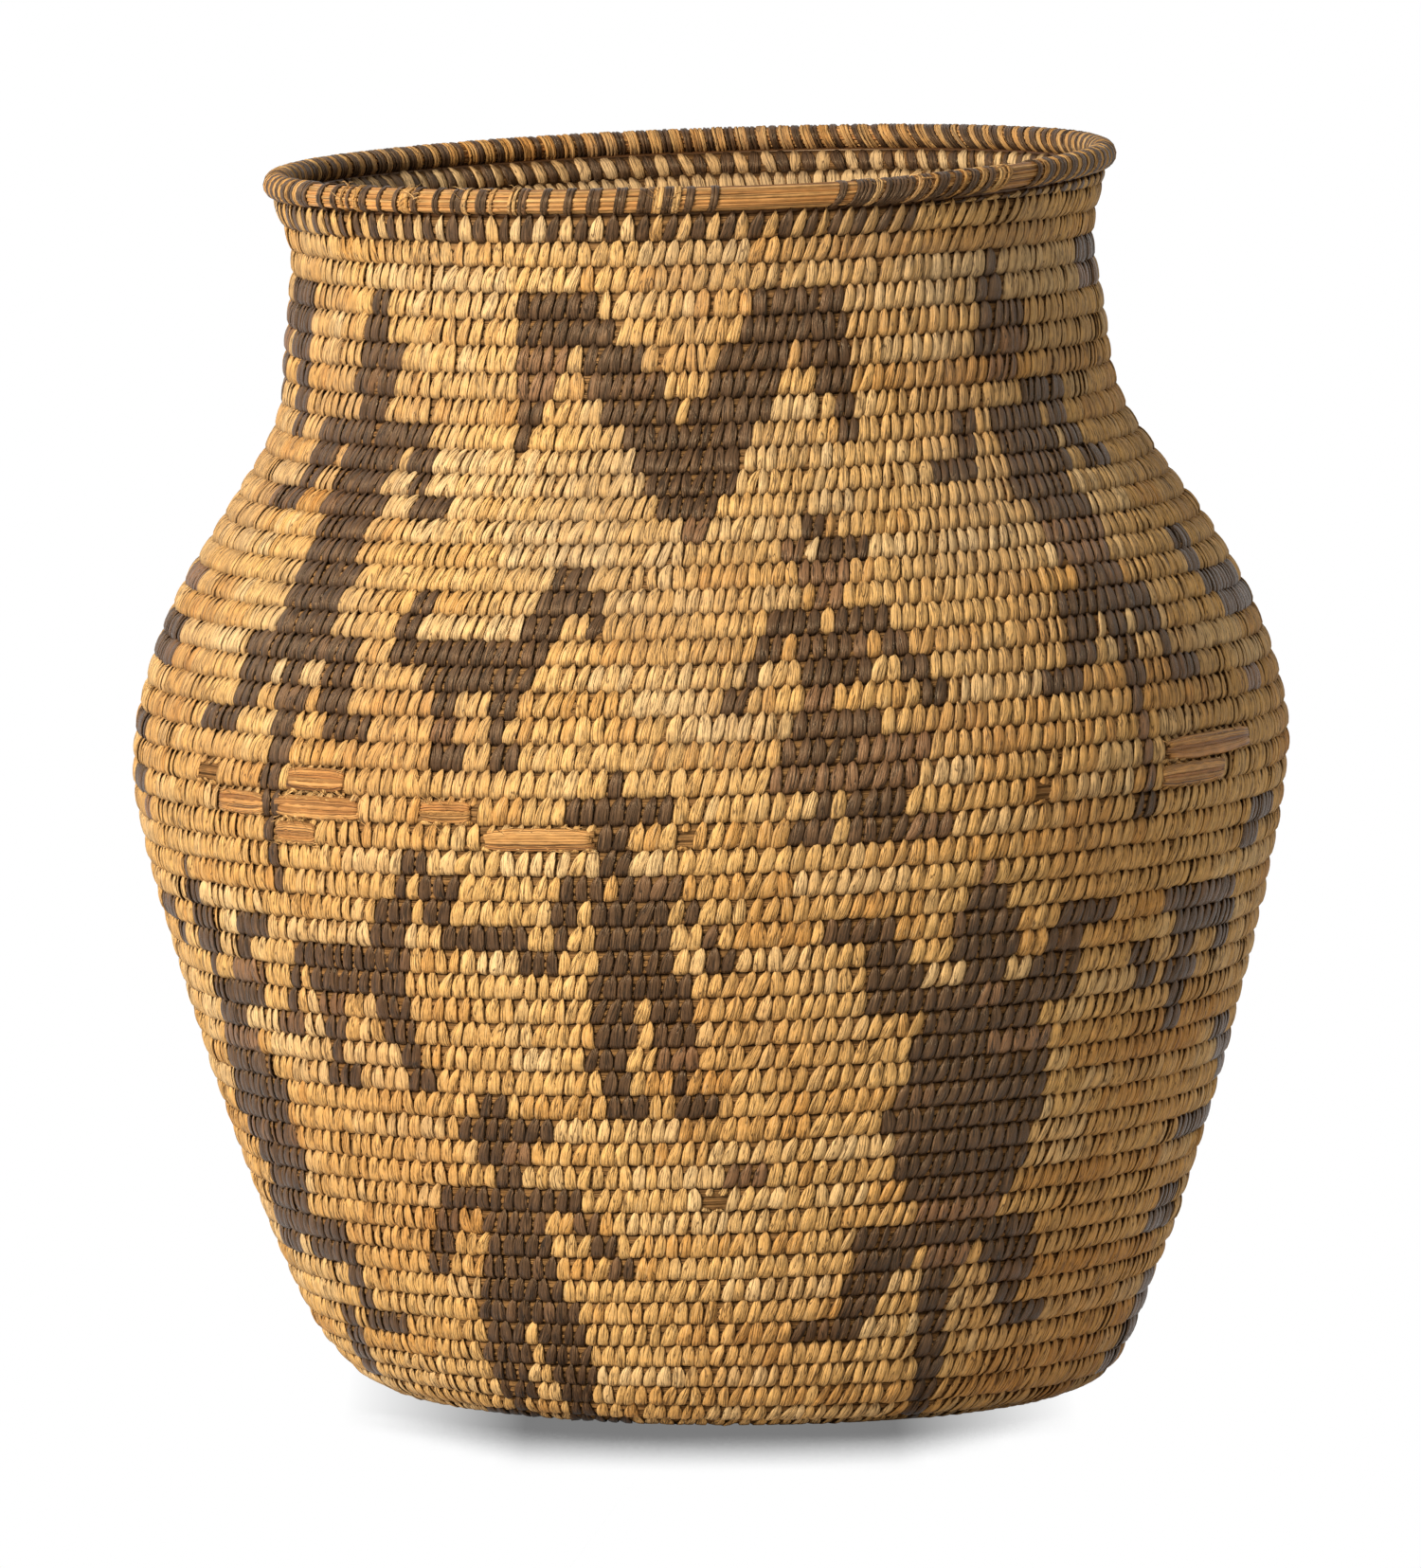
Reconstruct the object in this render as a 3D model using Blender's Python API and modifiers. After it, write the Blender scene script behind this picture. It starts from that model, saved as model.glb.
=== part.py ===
"""A coiled basket jar with a flared rim, as woven from one long coil of rods.

The coil starts at a knot in the middle of the base, runs outward in a flat spiral, turns up at the
heel and climbs the wall clockwise, seen from above, until it thins out under the rim coil. Each
length of the coil is a solid of its own, ribbed inside and out, and meets the next length along one
full turn and at its two ends. Where the rim coil's splints are worn away, its three rods lie bare
inside the few splints that are left, and the belly has eight such bare runs.

Metres, Z up. The origin is on the ground under the middle of the belly, and -Y is the front.
"""

import math

import bmesh
import bpy
import numpy as np
from mathutils import Matrix, Vector

# Outline of the middle of the wall: radii, and how far each place rises above the one before it
BASE_RADIUS = 0.084
REST_RADIUS = 0.068
BELLY_RADIUS = 0.1405
BELLY_HEIGHT = 0.159
SHOULDER_RADIUS = 0.105
SHOULDER_RISE = 0.077
NECK_RADIUS = 0.0965
NECK_RISE = 0.047
LIP_RADIUS = 0.1
LIP_RISE = 0.0133
BASE_HOLLOW = 0.0035

# Where the wall passes between those heights: (share of the rise, share of the change in radius)
HEEL_TO_BELLY_SHARES = (
    (0.021, 0.133),
    (0.06, 0.223),
    (0.211, 0.418),
    (0.422, 0.623),
    (0.663, 0.814),
    (0.903, 0.972),
)
BELLY_TO_SHOULDER_SHARES = ((0.214, 0.073), (0.513, 0.324), (0.753, 0.648))
SHOULDER_TO_NECK_SHARES = ((0.234, 0.506), (0.545, 0.706))
NECK_TO_LIP_SHARES = ((0.526, 0.345),)
HOLLOW_EDGE_SHARE = 0.6
HOLLOW_EDGE_RISE_SHARE = 0.55

# The coil and how it is sewn
COIL_THICKNESS = 0.006
SEAM_THICKNESS = 0.0032
REST_FLAT_DEPTH = 0.0005
REST_FLAT_SHARE = 0.48
ROUND_CREST_THICKNESS = 0.0057
ROUND_CREST_SHARE = 0.6
TURNS = 65.25
GROWTH_SHARE = 0.057
START_DIRECTION = math.radians(27)
KNOT_TURNS = 1.5
START_TURNS = 0.1
END_TURNS = 0.04
END_POWER = 4
COLUMNS = 24
CORNER_SPREAD = 2 / (1 + math.cos(math.pi / COLUMNS))
CLEARANCE = 0.0003

# How far the wall leans from the level base, and how high it takes to do so
TILT = math.radians(2.1)
SETTLED_HEIGHT = 0.024

# The knot's profile: (share of its radius, share of half its thickness)
KNOT_SHARES = ((0, 1), (0.55, 0.9), (0.88, 0.55), (1, 0), (0.88, -0.55), (0.55, -0.9), (0, -1))
KNOT_COLUMNS = 20

# Rim coil, its bare rods and the splints left on them
RIM_COIL_RADIUS = 0.0035
RIM_ROD_RADIUS = 0.00112
RIM_SPLINT_THICKNESS = 0.0006
RIM_SPLINT_WIDTH = 0.0022
RIM_SPLINTS = 20
BARE_RIM_FROM = math.radians(-142)
BARE_RIM_TO = math.radians(-68)
RIM_COLUMNS = 48
BARE_RIM_COLUMNS = 15
ROD_COUNT = 3

# Worn runs on the belly: (turn, direction of the middle in degrees, length)
WORN_ROD_RADIUS = 0.00085
WORN_RODS_ACROSS = 2
WORN_ROD_DEPTH = 0.0016
WIDE_WEAR = 0.04
LONG_WEAR = 0.027
MIDDLE_WEAR = 0.018
SHORT_WEAR = 0.013
WORN_RUNS = {
    "worn_left_top": (42, -132, MIDDLE_WEAR),
    "worn_left_outer": (41, -143, MIDDLE_WEAR),
    "worn_left_middle": (41, -132, LONG_WEAR),
    "worn_left_bottom": (40, -135, SHORT_WEAR),
    "worn_front_short": (41, -116.5, SHORT_WEAR),
    "worn_front_long": (40, -107, LONG_WEAR),
    "worn_right_upper": (42, -31, WIDE_WEAR),
    "worn_right_lower": (41, -34.5, LONG_WEAR),
}
WEAR_STEPS = 4
CUT_OVERRUN = 0.002

# Lengths of the coil from the knot up: name, first turn, last turn
COIL_LENGTHS = (
    ("base_inner_coils", 1, 7),
    ("base_outer_coils", 7, 12.25),
    ("heel_coils", 12.25, 15.5),
    ("foot_coils", 15.5, 21.25),
    ("lower_wall_coils", 21.25, 27),
    ("middle_wall_coils", 27, 32.75),
    ("lower_belly_coils", 32.75, 37.5),
    ("middle_belly_coils", 37.5, 41.25),
    ("upper_belly_coils", 41.25, 45.5),
    ("lower_shoulder_coils", 45.5, 49.25),
    ("upper_shoulder_coils", 49.25, 53.5),
    ("lower_neck_coils", 53.5, 57.75),
    ("upper_neck_coils", 57.75, 61.5),
    ("flare_coils", 61.5, TURNS),
)
RESTING_LENGTHS = ("base_outer_coils", "heel_coils")
ROUNDED_LENGTHS = (
    "lower_shoulder_coils",
    "upper_shoulder_coils",
    "lower_neck_coils",
    "upper_neck_coils",
    "flare_coils",
)

FULL_TURN = 2 * math.pi
SHARP_ANGLE = math.radians(50)

# Colours, as the photograph shows them
STRAW = (0.62, 0.42, 0.17, 1)
PALE_STRAW = (0.68, 0.48, 0.23, 1)
BARE_ROD = (0.56, 0.30, 0.11, 1)
DARK_SPLINT = (0.10, 0.065, 0.045, 1)


def between(start, end, shares):
    """Points from start to end, where each share pair is (of the rise, of the change in radius)."""
    points = [(start[0] + out * (end[0] - start[0]), start[1] + up * (end[1] - start[1])) for up, out in shares]
    return points + [end]


def outline_points():
    """The (radius, height) points that the middle of the wall passes through, from the knot to the lip."""
    rest = COIL_THICKNESS / 2 - REST_FLAT_DEPTH
    hollow_edge = (HOLLOW_EDGE_SHARE * REST_RADIUS, rest + HOLLOW_EDGE_RISE_SHARE * BASE_HOLLOW)
    base = (BASE_RADIUS, rest)
    belly = (BELLY_RADIUS, BELLY_HEIGHT)
    shoulder = (SHOULDER_RADIUS, BELLY_HEIGHT + SHOULDER_RISE)
    neck = (NECK_RADIUS, BELLY_HEIGHT + SHOULDER_RISE + NECK_RISE)
    lip = (LIP_RADIUS, BELLY_HEIGHT + SHOULDER_RISE + NECK_RISE + LIP_RISE)
    points = [(0, rest + BASE_HOLLOW), hollow_edge, (REST_RADIUS, rest), base]
    points += between(base, belly, HEEL_TO_BELLY_SHARES)
    points += between(belly, shoulder, BELLY_TO_SHOULDER_SHARES)
    points += between(shoulder, neck, SHOULDER_TO_NECK_SHARES)
    points += between(neck, lip, NECK_TO_LIP_SHARES)
    return np.array(points)


def smooth_through(points, steps=24):
    """A centripetal Catmull-Rom curve through the points."""
    ends = np.vstack([2 * points[0] - points[1], points, 2 * points[-1] - points[-2]])
    curve = []
    for p0, p1, p2, p3 in zip(ends, ends[1:], ends[2:], ends[3:]):
        t1 = np.linalg.norm(p1 - p0) ** 0.5
        t2 = t1 + np.linalg.norm(p2 - p1) ** 0.5
        t3 = t2 + np.linalg.norm(p3 - p2) ** 0.5
        for t in np.linspace(t1, t2, steps, endpoint=False):
            a1 = ((t1 - t) * p0 + t * p1) / t1
            a2 = ((t2 - t) * p1 + (t - t1) * p2) / (t2 - t1)
            a3 = ((t3 - t) * p2 + (t - t2) * p3) / (t3 - t2)
            b1 = ((t2 - t) * a1 + t * a2) / t2
            b2 = ((t3 - t) * a2 + (t - t1) * a3) / (t3 - t1)
            curve.append(((t2 - t) * b1 + (t - t1) * b2) / (t2 - t1))
    return np.array(curve + [points[-1]])


OUTLINE = smooth_through(outline_points())
OUTLINE[:, 1] = np.maximum(OUTLINE[:, 1], COIL_THICKNESS / 2 - REST_FLAT_DEPTH)
OUTLINE_ARC = np.concatenate([[0], np.cumsum(np.linalg.norm(np.diff(OUTLINE, axis=0), axis=1))])
WALL_LENGTH = OUTLINE_ARC[-1]
PITCH = WALL_LENGTH / (TURNS - 0.5)


def wall_at(arc, outward):
    """(radius, height) of the point that lies outward from the middle of the wall, arc along it."""
    step = PITCH / 4
    on_wall = min(arc, WALL_LENGTH)
    middle, ahead, behind = (
        np.array([np.interp(at, OUTLINE_ARC, column) for column in OUTLINE.T])
        for at in (on_wall, on_wall + step, on_wall - step)
    )
    along = (ahead - behind) / np.linalg.norm(ahead - behind)
    return middle + (arc - on_wall) * along + outward * np.array([along[1], -along[0]])


def place(angle, arc, outward, spread=1):
    """A point of the settled basket, at a direction, a way along the wall and a way out from its middle.

    Corners of a many-sided ring are spread out as far beyond the round wall as its flats fall short."""
    radius, height = wall_at(arc, outward)
    radius *= spread
    share = min(max(height / SETTLED_HEIGHT, 0), 1)
    tilt = TILT * share * share * (3 - 2 * share)
    across = radius * math.cos(angle)
    x = BELLY_HEIGHT * math.sin(TILT) + across * math.cos(tilt) - height * math.sin(tilt)
    return Vector((x, radius * math.sin(angle), height * math.cos(tilt) + across * math.sin(tilt)))


def coil_arc(turns):
    """How far along the wall this many coils reach, side by side. They are thicker towards the rim."""
    share = turns / (TURNS - 0.5)
    return WALL_LENGTH * share * (1 + GROWTH_SHARE * share) / (1 + GROWTH_SHARE)


def seam(turn):
    """How far along the wall the seam lies that tops this turn of the coil. The last turn thins out."""
    thinned = max(turn - (TURNS - 1), 0) ** END_POWER
    return coil_arc(max(turn + 0.5 - thinned, KNOT_TURNS))


def direction(turn):
    """The direction from the middle of the basket to this turn of the coil."""
    return START_DIRECTION - FULL_TURN * turn


def turn_at(turn, angle):
    """The turn, counted in whole turns and a part, where the coil comes to a direction."""
    return turn + (START_DIRECTION - angle) / FULL_TURN % 1


def new_material(name, colour, roughness):
    """A plain material of this colour and roughness."""
    material = bpy.data.materials.new(name)
    material.use_nodes = True
    surface = material.node_tree.nodes["Principled BSDF"]
    surface.inputs["Base Color"].default_value = colour
    surface.inputs["Roughness"].default_value = roughness
    surface.inputs["Metallic"].default_value = 0
    return material


def finish(obj, material):
    """Adds a piece to the basket's collection, with its material and smooth shading."""
    BASKET.objects.link(obj)
    if material.name not in obj.data.materials:
        obj.data.materials.append(material)
    if obj.type == "MESH":
        obj.data.shade_smooth()
        obj.data.set_sharp_from_angle(angle=SHARP_ANGLE)
    return obj


def mesh_object(name, bm):
    """A mesh object from bm, with its faces pointing out."""
    bmesh.ops.recalc_face_normals(bm, faces=bm.faces[:])
    mesh = bpy.data.meshes.new(name)
    bm.to_mesh(mesh)
    bm.free()
    return bpy.data.objects.new(name, mesh)


def strip(bm, below, above):
    """Faces between two lines of vertices that run side by side."""
    for pair in zip(below, below[1:], above[1:], above):
        bm.faces.new(pair)


def coil_length(name, first, last):
    """One length of the coil, from its first turn to its last, sewn turn to turn into a ribbed wall.

    Lines of vertices run along the coil: the seams below and above each turn, and one or two ridges
    between them, for a plain, a flattened or a rounded crest. A turn's upper seam is the lower seam of
    the turn that lies on it."""
    first = max(first, KNOT_TURNS - 0.5 + START_TURNS)
    last = min(last, TURNS - END_TURNS)
    steps = round((last - first) * COLUMNS)
    half_gap = CLEARANCE / 2

    def turn_of(index):
        return round(first * COLUMNS + index) / COLUMNS

    def pulled_in(index, arc):
        """The direction at a column, which the ends of the length keep clear of the next one's."""
        pull = half_gap / wall_at(arc, 0)[0] if index in (-COLUMNS, 0) else 0
        pull -= half_gap / wall_at(arc, 0)[0] if index in (steps, steps - COLUMNS) else 0
        return direction(turn_of(index)) - pull

    def seam_line(side):
        line = []
        for index in range(-COLUMNS, steps + 1):
            arc = seam(turn_of(index))
            arc += half_gap if index < 0 else 0
            arc -= half_gap if index > steps - COLUMNS else 0
            corner = place(pulled_in(index, arc), arc, side * SEAM_THICKNESS / 2, CORNER_SPREAD)
            line.append(bm.verts.new(corner))
        return line

    def ridge_line(side, across_share, ridge):
        line = []
        for index in range(steps + 1):
            low = seam(turn_of(index - COLUMNS))
            high = seam(turn_of(index))
            full_height = coil_arc(turn_of(index) + 0.5) - coil_arc(turn_of(index) - 0.5)
            fullness = min((high - low) / full_height, 1)
            arc = (low + high) / 2 + across_share * (high - low)
            rise = SEAM_THICKNESS / 2 + fullness * (ridge - SEAM_THICKNESS / 2)
            line.append(bm.verts.new(place(pulled_in(index, arc), arc, side * rise, CORNER_SPREAD)))
        return line

    bm = bmesh.new()
    outer_seam, inner_seam = seam_line(1), seam_line(-1)
    crest = [(0, COIL_THICKNESS / 2)]
    inner = [ridge_line(-1, *ridge) for ridge in crest]
    if name in RESTING_LENGTHS:
        crest = [(end * REST_FLAT_SHARE / 2, COIL_THICKNESS / 2 - REST_FLAT_DEPTH) for end in (-1, 1)]
    if name in ROUNDED_LENGTHS:
        crest = [(end * ROUND_CREST_SHARE / 2, ROUND_CREST_THICKNESS / 2) for end in (-1, 1)]
    outer = [ridge_line(1, *ridge) for ridge in crest]
    for ridges, seams in ((outer, outer_seam), (inner, inner_seam)):
        lines = [seams[: steps + 1], *ridges, seams[COLUMNS:]]
        for below, above in zip(lines, lines[1:]):
            strip(bm, below, above)
    strip(bm, outer_seam[: COLUMNS + 1], inner_seam[: COLUMNS + 1])
    strip(bm, outer_seam[steps:], inner_seam[steps:])
    for end, low, high in ((0, 0, COLUMNS), (steps, steps, steps + COLUMNS)):
        ring = [outer_seam[low], *(ridge[end] for ridge in outer), outer_seam[high]]
        ring += [inner_seam[high], *(ridge[end] for ridge in reversed(inner)), inner_seam[low]]
        bm.faces.new(ring)
    return mesh_object(name, bm)


def start_knot():
    """The knot that the coil starts from: a turned button that fills the eye of the spiral."""
    edge = coil_arc(KNOT_TURNS) - CLEARANCE
    half = COIL_THICKNESS / 2
    bm = bmesh.new()
    verts = [bm.verts.new((out * edge, 0, up * half)) for out, up in KNOT_SHARES]
    for pair in zip(verts, verts[1:]):
        bm.edges.new(pair)
    mesh = bpy.data.meshes.new("start_knot")
    bm.to_mesh(mesh)
    bm.free()
    knot = bpy.data.objects.new("start_knot", mesh)
    knot.location = place(0, 0, 0)
    turned = knot.modifiers.new("turned", "SCREW")
    turned.steps = KNOT_COLUMNS
    turned.render_steps = KNOT_COLUMNS
    turned.use_merge_vertices = True
    turned.merge_threshold = CLEARANCE / 10
    return knot


def rim_centre(angle, up=0, out=0):
    """A point beside the middle line of the rim coil, which lies on the coil's last turn."""
    before_end = (angle - direction(TURNS)) / FULL_TURN % 1
    return place(angle, seam(TURNS - before_end) + CLEARANCE + RIM_COIL_RADIUS + up, out)


def tube(name, points, radius, resolution):
    """A curve object with a round section of this radius, along the points."""
    curve = bpy.data.curves.new(name, "CURVE")
    curve.dimensions = "3D"
    curve.bevel_depth = radius
    curve.bevel_resolution = resolution
    curve.use_fill_caps = True
    spline = curve.splines.new("POLY")
    spline.points.add(len(points) - 1)
    for slot, point in zip(spline.points, points):
        slot.co = (*point, 1)
    return bpy.data.objects.new(name, curve)


def rim_coil():
    """The stretch of the rim coil whose splints are all there."""
    half_gap = CLEARANCE / LIP_RADIUS / 2
    sewn = np.linspace(BARE_RIM_TO + half_gap, BARE_RIM_FROM + FULL_TURN - half_gap, RIM_COLUMNS)
    return tube("rim_coil", [rim_centre(angle) for angle in sewn], RIM_COIL_RADIUS, 2)


def rim_rods():
    """The rods of the rim coil's bare stretch, in a bundle."""
    half_gap = CLEARANCE / LIP_RADIUS / 2
    spread = (2 * RIM_ROD_RADIUS + CLEARANCE) / 2 / math.sin(math.pi / ROD_COUNT)
    bare = np.linspace(BARE_RIM_FROM + half_gap, BARE_RIM_TO - half_gap, BARE_RIM_COLUMNS)
    rods = []
    for number in range(ROD_COUNT):
        around = FULL_TURN * (number / ROD_COUNT + 0.25)
        points = [rim_centre(angle, spread * math.sin(around), spread * math.cos(around)) for angle in bare]
        rods.append(tube(f"rim_rod_{number + 1}", points, RIM_ROD_RADIUS, 1))
    return rods


def rim_splints():
    """The dark splints that are left round the bare rods of the rim, each a flat band in a ring."""
    bpy.ops.mesh.primitive_torus_add(
        major_radius=RIM_COIL_RADIUS - RIM_SPLINT_THICKNESS / 2,
        minor_radius=RIM_SPLINT_THICKNESS / 2,
        major_segments=8,
        minor_segments=4,
    )
    pattern = bpy.context.object
    band = pattern.data
    bpy.data.objects.remove(pattern)
    band.transform(Matrix.Diagonal((1, 1, RIM_SPLINT_WIDTH / RIM_SPLINT_THICKNESS, 1)))
    splints = []
    for number, angle in enumerate(np.linspace(BARE_RIM_FROM, BARE_RIM_TO, RIM_SPLINTS + 2)[1:-1]):
        centre = rim_centre(angle)
        along = rim_centre(angle + CLEARANCE / LIP_RADIUS) - centre
        splint = bpy.data.objects.new(f"rim_splint_{number + 1:02}", band)
        splint.matrix_world = Matrix.Translation(centre) @ along.to_track_quat("Z", "Y").to_matrix().to_4x4()
        splints.append(splint)
    return splints


def worn_run(turn, degrees, length):
    """(directions along a worn run, how far along the wall the middle of its coil lies)."""
    angle = math.radians(degrees)
    arc = coil_arc(turn_at(turn, angle))
    half = length / 2 / wall_at(arc, 0)[0]
    return np.linspace(angle - half, angle + half, WEAR_STEPS + 1), arc


def worn_cutter(name, turn, degrees, length):
    """The block that clears the worn splints off one run of the coil."""
    angles, arc = worn_run(turn, degrees, length)
    end_gap = CLEARANCE / wall_at(arc, 0)[0]
    angles = np.linspace(angles[0] - end_gap, angles[-1] + end_gap, len(angles))
    half_width = WORN_RODS_ACROSS * WORN_ROD_RADIUS + (WORN_RODS_ACROSS + 1) / 2 * CLEARANCE
    floor = COIL_THICKNESS / 2 - WORN_ROD_DEPTH - WORN_ROD_RADIUS - CLEARANCE
    top = COIL_THICKNESS / 2 + CUT_OVERRUN
    bm = bmesh.new()
    rings = []
    for angle in angles:
        corners = ((-half_width, floor), (half_width, floor), (half_width, top), (-half_width, top))
        rings.append([bm.verts.new(place(angle, arc + across, out)) for across, out in corners])
    for ring, other in zip(rings, rings[1:]):
        for k in range(len(ring)):
            bm.faces.new((ring[k - 1], ring[k], other[k], other[k - 1]))
    bm.faces.new(rings[0])
    bm.faces.new(rings[-1])
    cutter = mesh_object(name + "_cutter", bm)
    cutter.hide_render = True
    cutter.display_type = "WIRE"
    CUTTERS.objects.link(cutter)
    return cutter


def bare_rods(name, turn, degrees, length):
    """The rods that lie bare in one worn run."""
    angles, arc = worn_run(turn, degrees, length)
    step = 2 * WORN_ROD_RADIUS + CLEARANCE
    rods = []
    for number in range(WORN_RODS_ACROSS):
        across = (number - (WORN_RODS_ACROSS - 1) / 2) * step
        points = [place(angle, arc + across, COIL_THICKNESS / 2 - WORN_ROD_DEPTH) for angle in angles]
        rods.append(tube(f"{name}_rod_{number + 1}", points, WORN_ROD_RADIUS, 1))
    return rods


def wear_off(coils, name, turn, degrees, length):
    """Cuts a worn run out of each length of coil that it lies on."""
    worn = turn_at(turn, math.radians(degrees))
    cutter = worn_cutter(name, turn, degrees, length)
    for coil_name, first, last in COIL_LENGTHS:
        if first - 1 < worn < last + 1:
            cut = coils[coil_name].modifiers.new(cutter.name, "BOOLEAN")
            cut.operation = "DIFFERENCE"
            cut.object = cutter


def new_collection(name):
    """A collection in the scene."""
    collection = bpy.data.collections.new(name)
    bpy.context.scene.collection.children.link(collection)
    return collection


for old in list(bpy.data.objects):
    bpy.data.objects.remove(old)
BASKET = new_collection("figural_basket")
CUTTERS = new_collection("cutters")
CUTTERS.hide_render = True

sewn_straw = new_material("sewn_straw", STRAW, 0.6)
knot_straw = new_material("knot_straw", PALE_STRAW, 0.6)
bare_wood = new_material("bare_wood", BARE_ROD, 0.5)
dark_splint = new_material("dark_splint", DARK_SPLINT, 0.45)

coils = {name: finish(coil_length(name, first, last), sewn_straw) for name, first, last in COIL_LENGTHS}
finish(start_knot(), knot_straw)
finish(rim_coil(), dark_splint)
for rod in rim_rods():
    finish(rod, bare_wood)
for splint in rim_splints():
    finish(splint, dark_splint)
for place_name, run in WORN_RUNS.items():
    wear_off(coils, place_name, *run)
    for rod in bare_rods(place_name, *run):
        finish(rod, bare_wood)
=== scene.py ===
"""A coiled basket jar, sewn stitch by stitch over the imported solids, and laid out as an add-on.

Every operator makes one group of pieces: the rods that the coil is built on, the light and dark
splints sewn round it, the start knot, the rim's rods and splints, the bare places where splints have
worn away, a few loose fibres, and the stage that it stands on.
"""

import math

import bpy
import numpy as np
from bpy.props import FloatProperty, FloatVectorProperty, IntProperty, PointerProperty
from mathutils import Euler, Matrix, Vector


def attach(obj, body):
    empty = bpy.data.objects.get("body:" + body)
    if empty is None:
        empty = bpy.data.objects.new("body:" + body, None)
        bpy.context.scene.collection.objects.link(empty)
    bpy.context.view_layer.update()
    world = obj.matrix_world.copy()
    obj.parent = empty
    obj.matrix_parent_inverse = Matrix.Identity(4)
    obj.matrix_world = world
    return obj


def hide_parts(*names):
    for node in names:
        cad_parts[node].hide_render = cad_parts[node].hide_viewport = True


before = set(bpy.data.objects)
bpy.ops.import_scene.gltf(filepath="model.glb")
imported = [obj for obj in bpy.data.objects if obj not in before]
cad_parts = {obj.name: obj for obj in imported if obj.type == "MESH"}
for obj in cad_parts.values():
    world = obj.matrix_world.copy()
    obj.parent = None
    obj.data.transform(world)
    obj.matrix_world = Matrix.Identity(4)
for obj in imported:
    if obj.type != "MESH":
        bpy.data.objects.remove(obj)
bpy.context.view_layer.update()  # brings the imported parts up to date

bl_info = {
    "name": "Figural Basket",
    "version": (1, 0, 0),
    "blender": (4, 5, 0),
    "location": "View3D > Sidebar > Basket",
    "description": "Makes a coiled basket jar sewn with light and dark splints",
    "category": "Add Mesh",
}

# The wall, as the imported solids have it
BASE_RADIUS = 0.084
REST_RADIUS = 0.068
BELLY_RADIUS = 0.1405
BELLY_HEIGHT = 0.159
SHOULDER_RADIUS = 0.105
SHOULDER_RISE = 0.077
NECK_RADIUS = 0.0965
NECK_RISE = 0.047
LIP_RADIUS = 0.1
LIP_RISE = 0.0133
BASE_HOLLOW = 0.0035
HEEL_TO_BELLY_SHARES = (
    (0.021, 0.133), (0.06, 0.223), (0.211, 0.418), (0.422, 0.623), (0.663, 0.814), (0.903, 0.972)
)
BELLY_TO_SHOULDER_SHARES = ((0.214, 0.073), (0.513, 0.324), (0.753, 0.648))
SHOULDER_TO_NECK_SHARES = ((0.234, 0.506), (0.545, 0.706))
NECK_TO_LIP_SHARES = ((0.526, 0.345),)
HOLLOW_EDGE_SHARE = 0.6
HOLLOW_EDGE_RISE_SHARE = 0.55
COIL_THICKNESS = 0.006
SEAM_THICKNESS = 0.0032
REST_FLAT_DEPTH = 0.0005
CURVE_STEPS = 24
TURNS = 65.25
GROWTH_SHARE = 0.057
START_DIRECTION = math.radians(27)
KNOT_TURNS = 1.5
END_POWER = 4
CLEARANCE = 0.0003
TILT = math.radians(2.1)
SETTLED_HEIGHT = 0.024
RIM_COIL_RADIUS = 0.0035
RIM_RODS = 3
RIM_SPLINTS = 20
FULL_TURN = 2 * math.pi

# Lengths of the coil from the knot up: name, first turn, last turn
COIL_LENGTHS = (
    ("base_inner_coils", 1, 7),
    ("base_outer_coils", 7, 12.25),
    ("heel_coils", 12.25, 15.5),
    ("foot_coils", 15.5, 21.25),
    ("lower_wall_coils", 21.25, 27),
    ("middle_wall_coils", 27, 32.75),
    ("lower_belly_coils", 32.75, 37.5),
    ("middle_belly_coils", 37.5, 41.25),
    ("upper_belly_coils", 41.25, 45.5),
    ("lower_shoulder_coils", 45.5, 49.25),
    ("upper_shoulder_coils", 49.25, 53.5),
    ("lower_neck_coils", 53.5, 57.75),
    ("upper_neck_coils", 57.75, 61.5),
    ("flare_coils", 61.5, TURNS),
)

# Groups of those lengths that share one piece: name, first turn, last turn
ROD_LENGTHS = (
    ("base_rods", 1.12, 15.5),
    ("wall_rods", 15.5, 37.5),
    ("upper_rods", 37.5, TURNS - 0.03),
)
DARK_LENGTHS = (
    ("foot_dark_splints", 12.25, 27),
    ("wall_dark_splints", 27, 41.25),
    ("belly_dark_splints", 41.25, 53.5),
    ("neck_dark_splints", 53.5, TURNS),
)

# Worn runs: turn, direction of the middle in degrees, length
WORN_RUNS = {
    "worn_left_top": (42, -132, 0.018),
    "worn_left_outer": (41, -143, 0.018),
    "worn_left_middle": (41, -132, 0.027),
    "worn_left_bottom": (40, -135, 0.013),
    "worn_front_short": (41, -116.5, 0.013),
    "worn_front_long": (40, -107, 0.027),
    "worn_right_upper": (42, -31, 0.04),
    "worn_right_lower": (41, -34.5, 0.027),
}
WORN_RODS_ACROSS = 2

# The camera, which also tells where a pixel of the photograph lies on the wall
PHOTO_WIDTH = 1500
PHOTO_HEIGHT = 1655
SENSOR_WIDTH = 36.0
CAMERA_DISTANCE = 4.1
CAMERA_ELEVATION = math.radians(5.5)
CAMERA_AIM_HEIGHT = 0.1488
PIXELS_PER_METRE = 4256

# Rows are counted down the front from the rim, which is row 1, and were read in this direction
FRONT = math.radians(-84)
FRONT_TURN_OF_ROW_0 = 66.308
ROW_WINDOW_START = math.radians(-264)
# Directions over the front, half a degree apart
FRONT_ANGLES = np.radians(np.linspace(-178, -2, 353))

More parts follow.
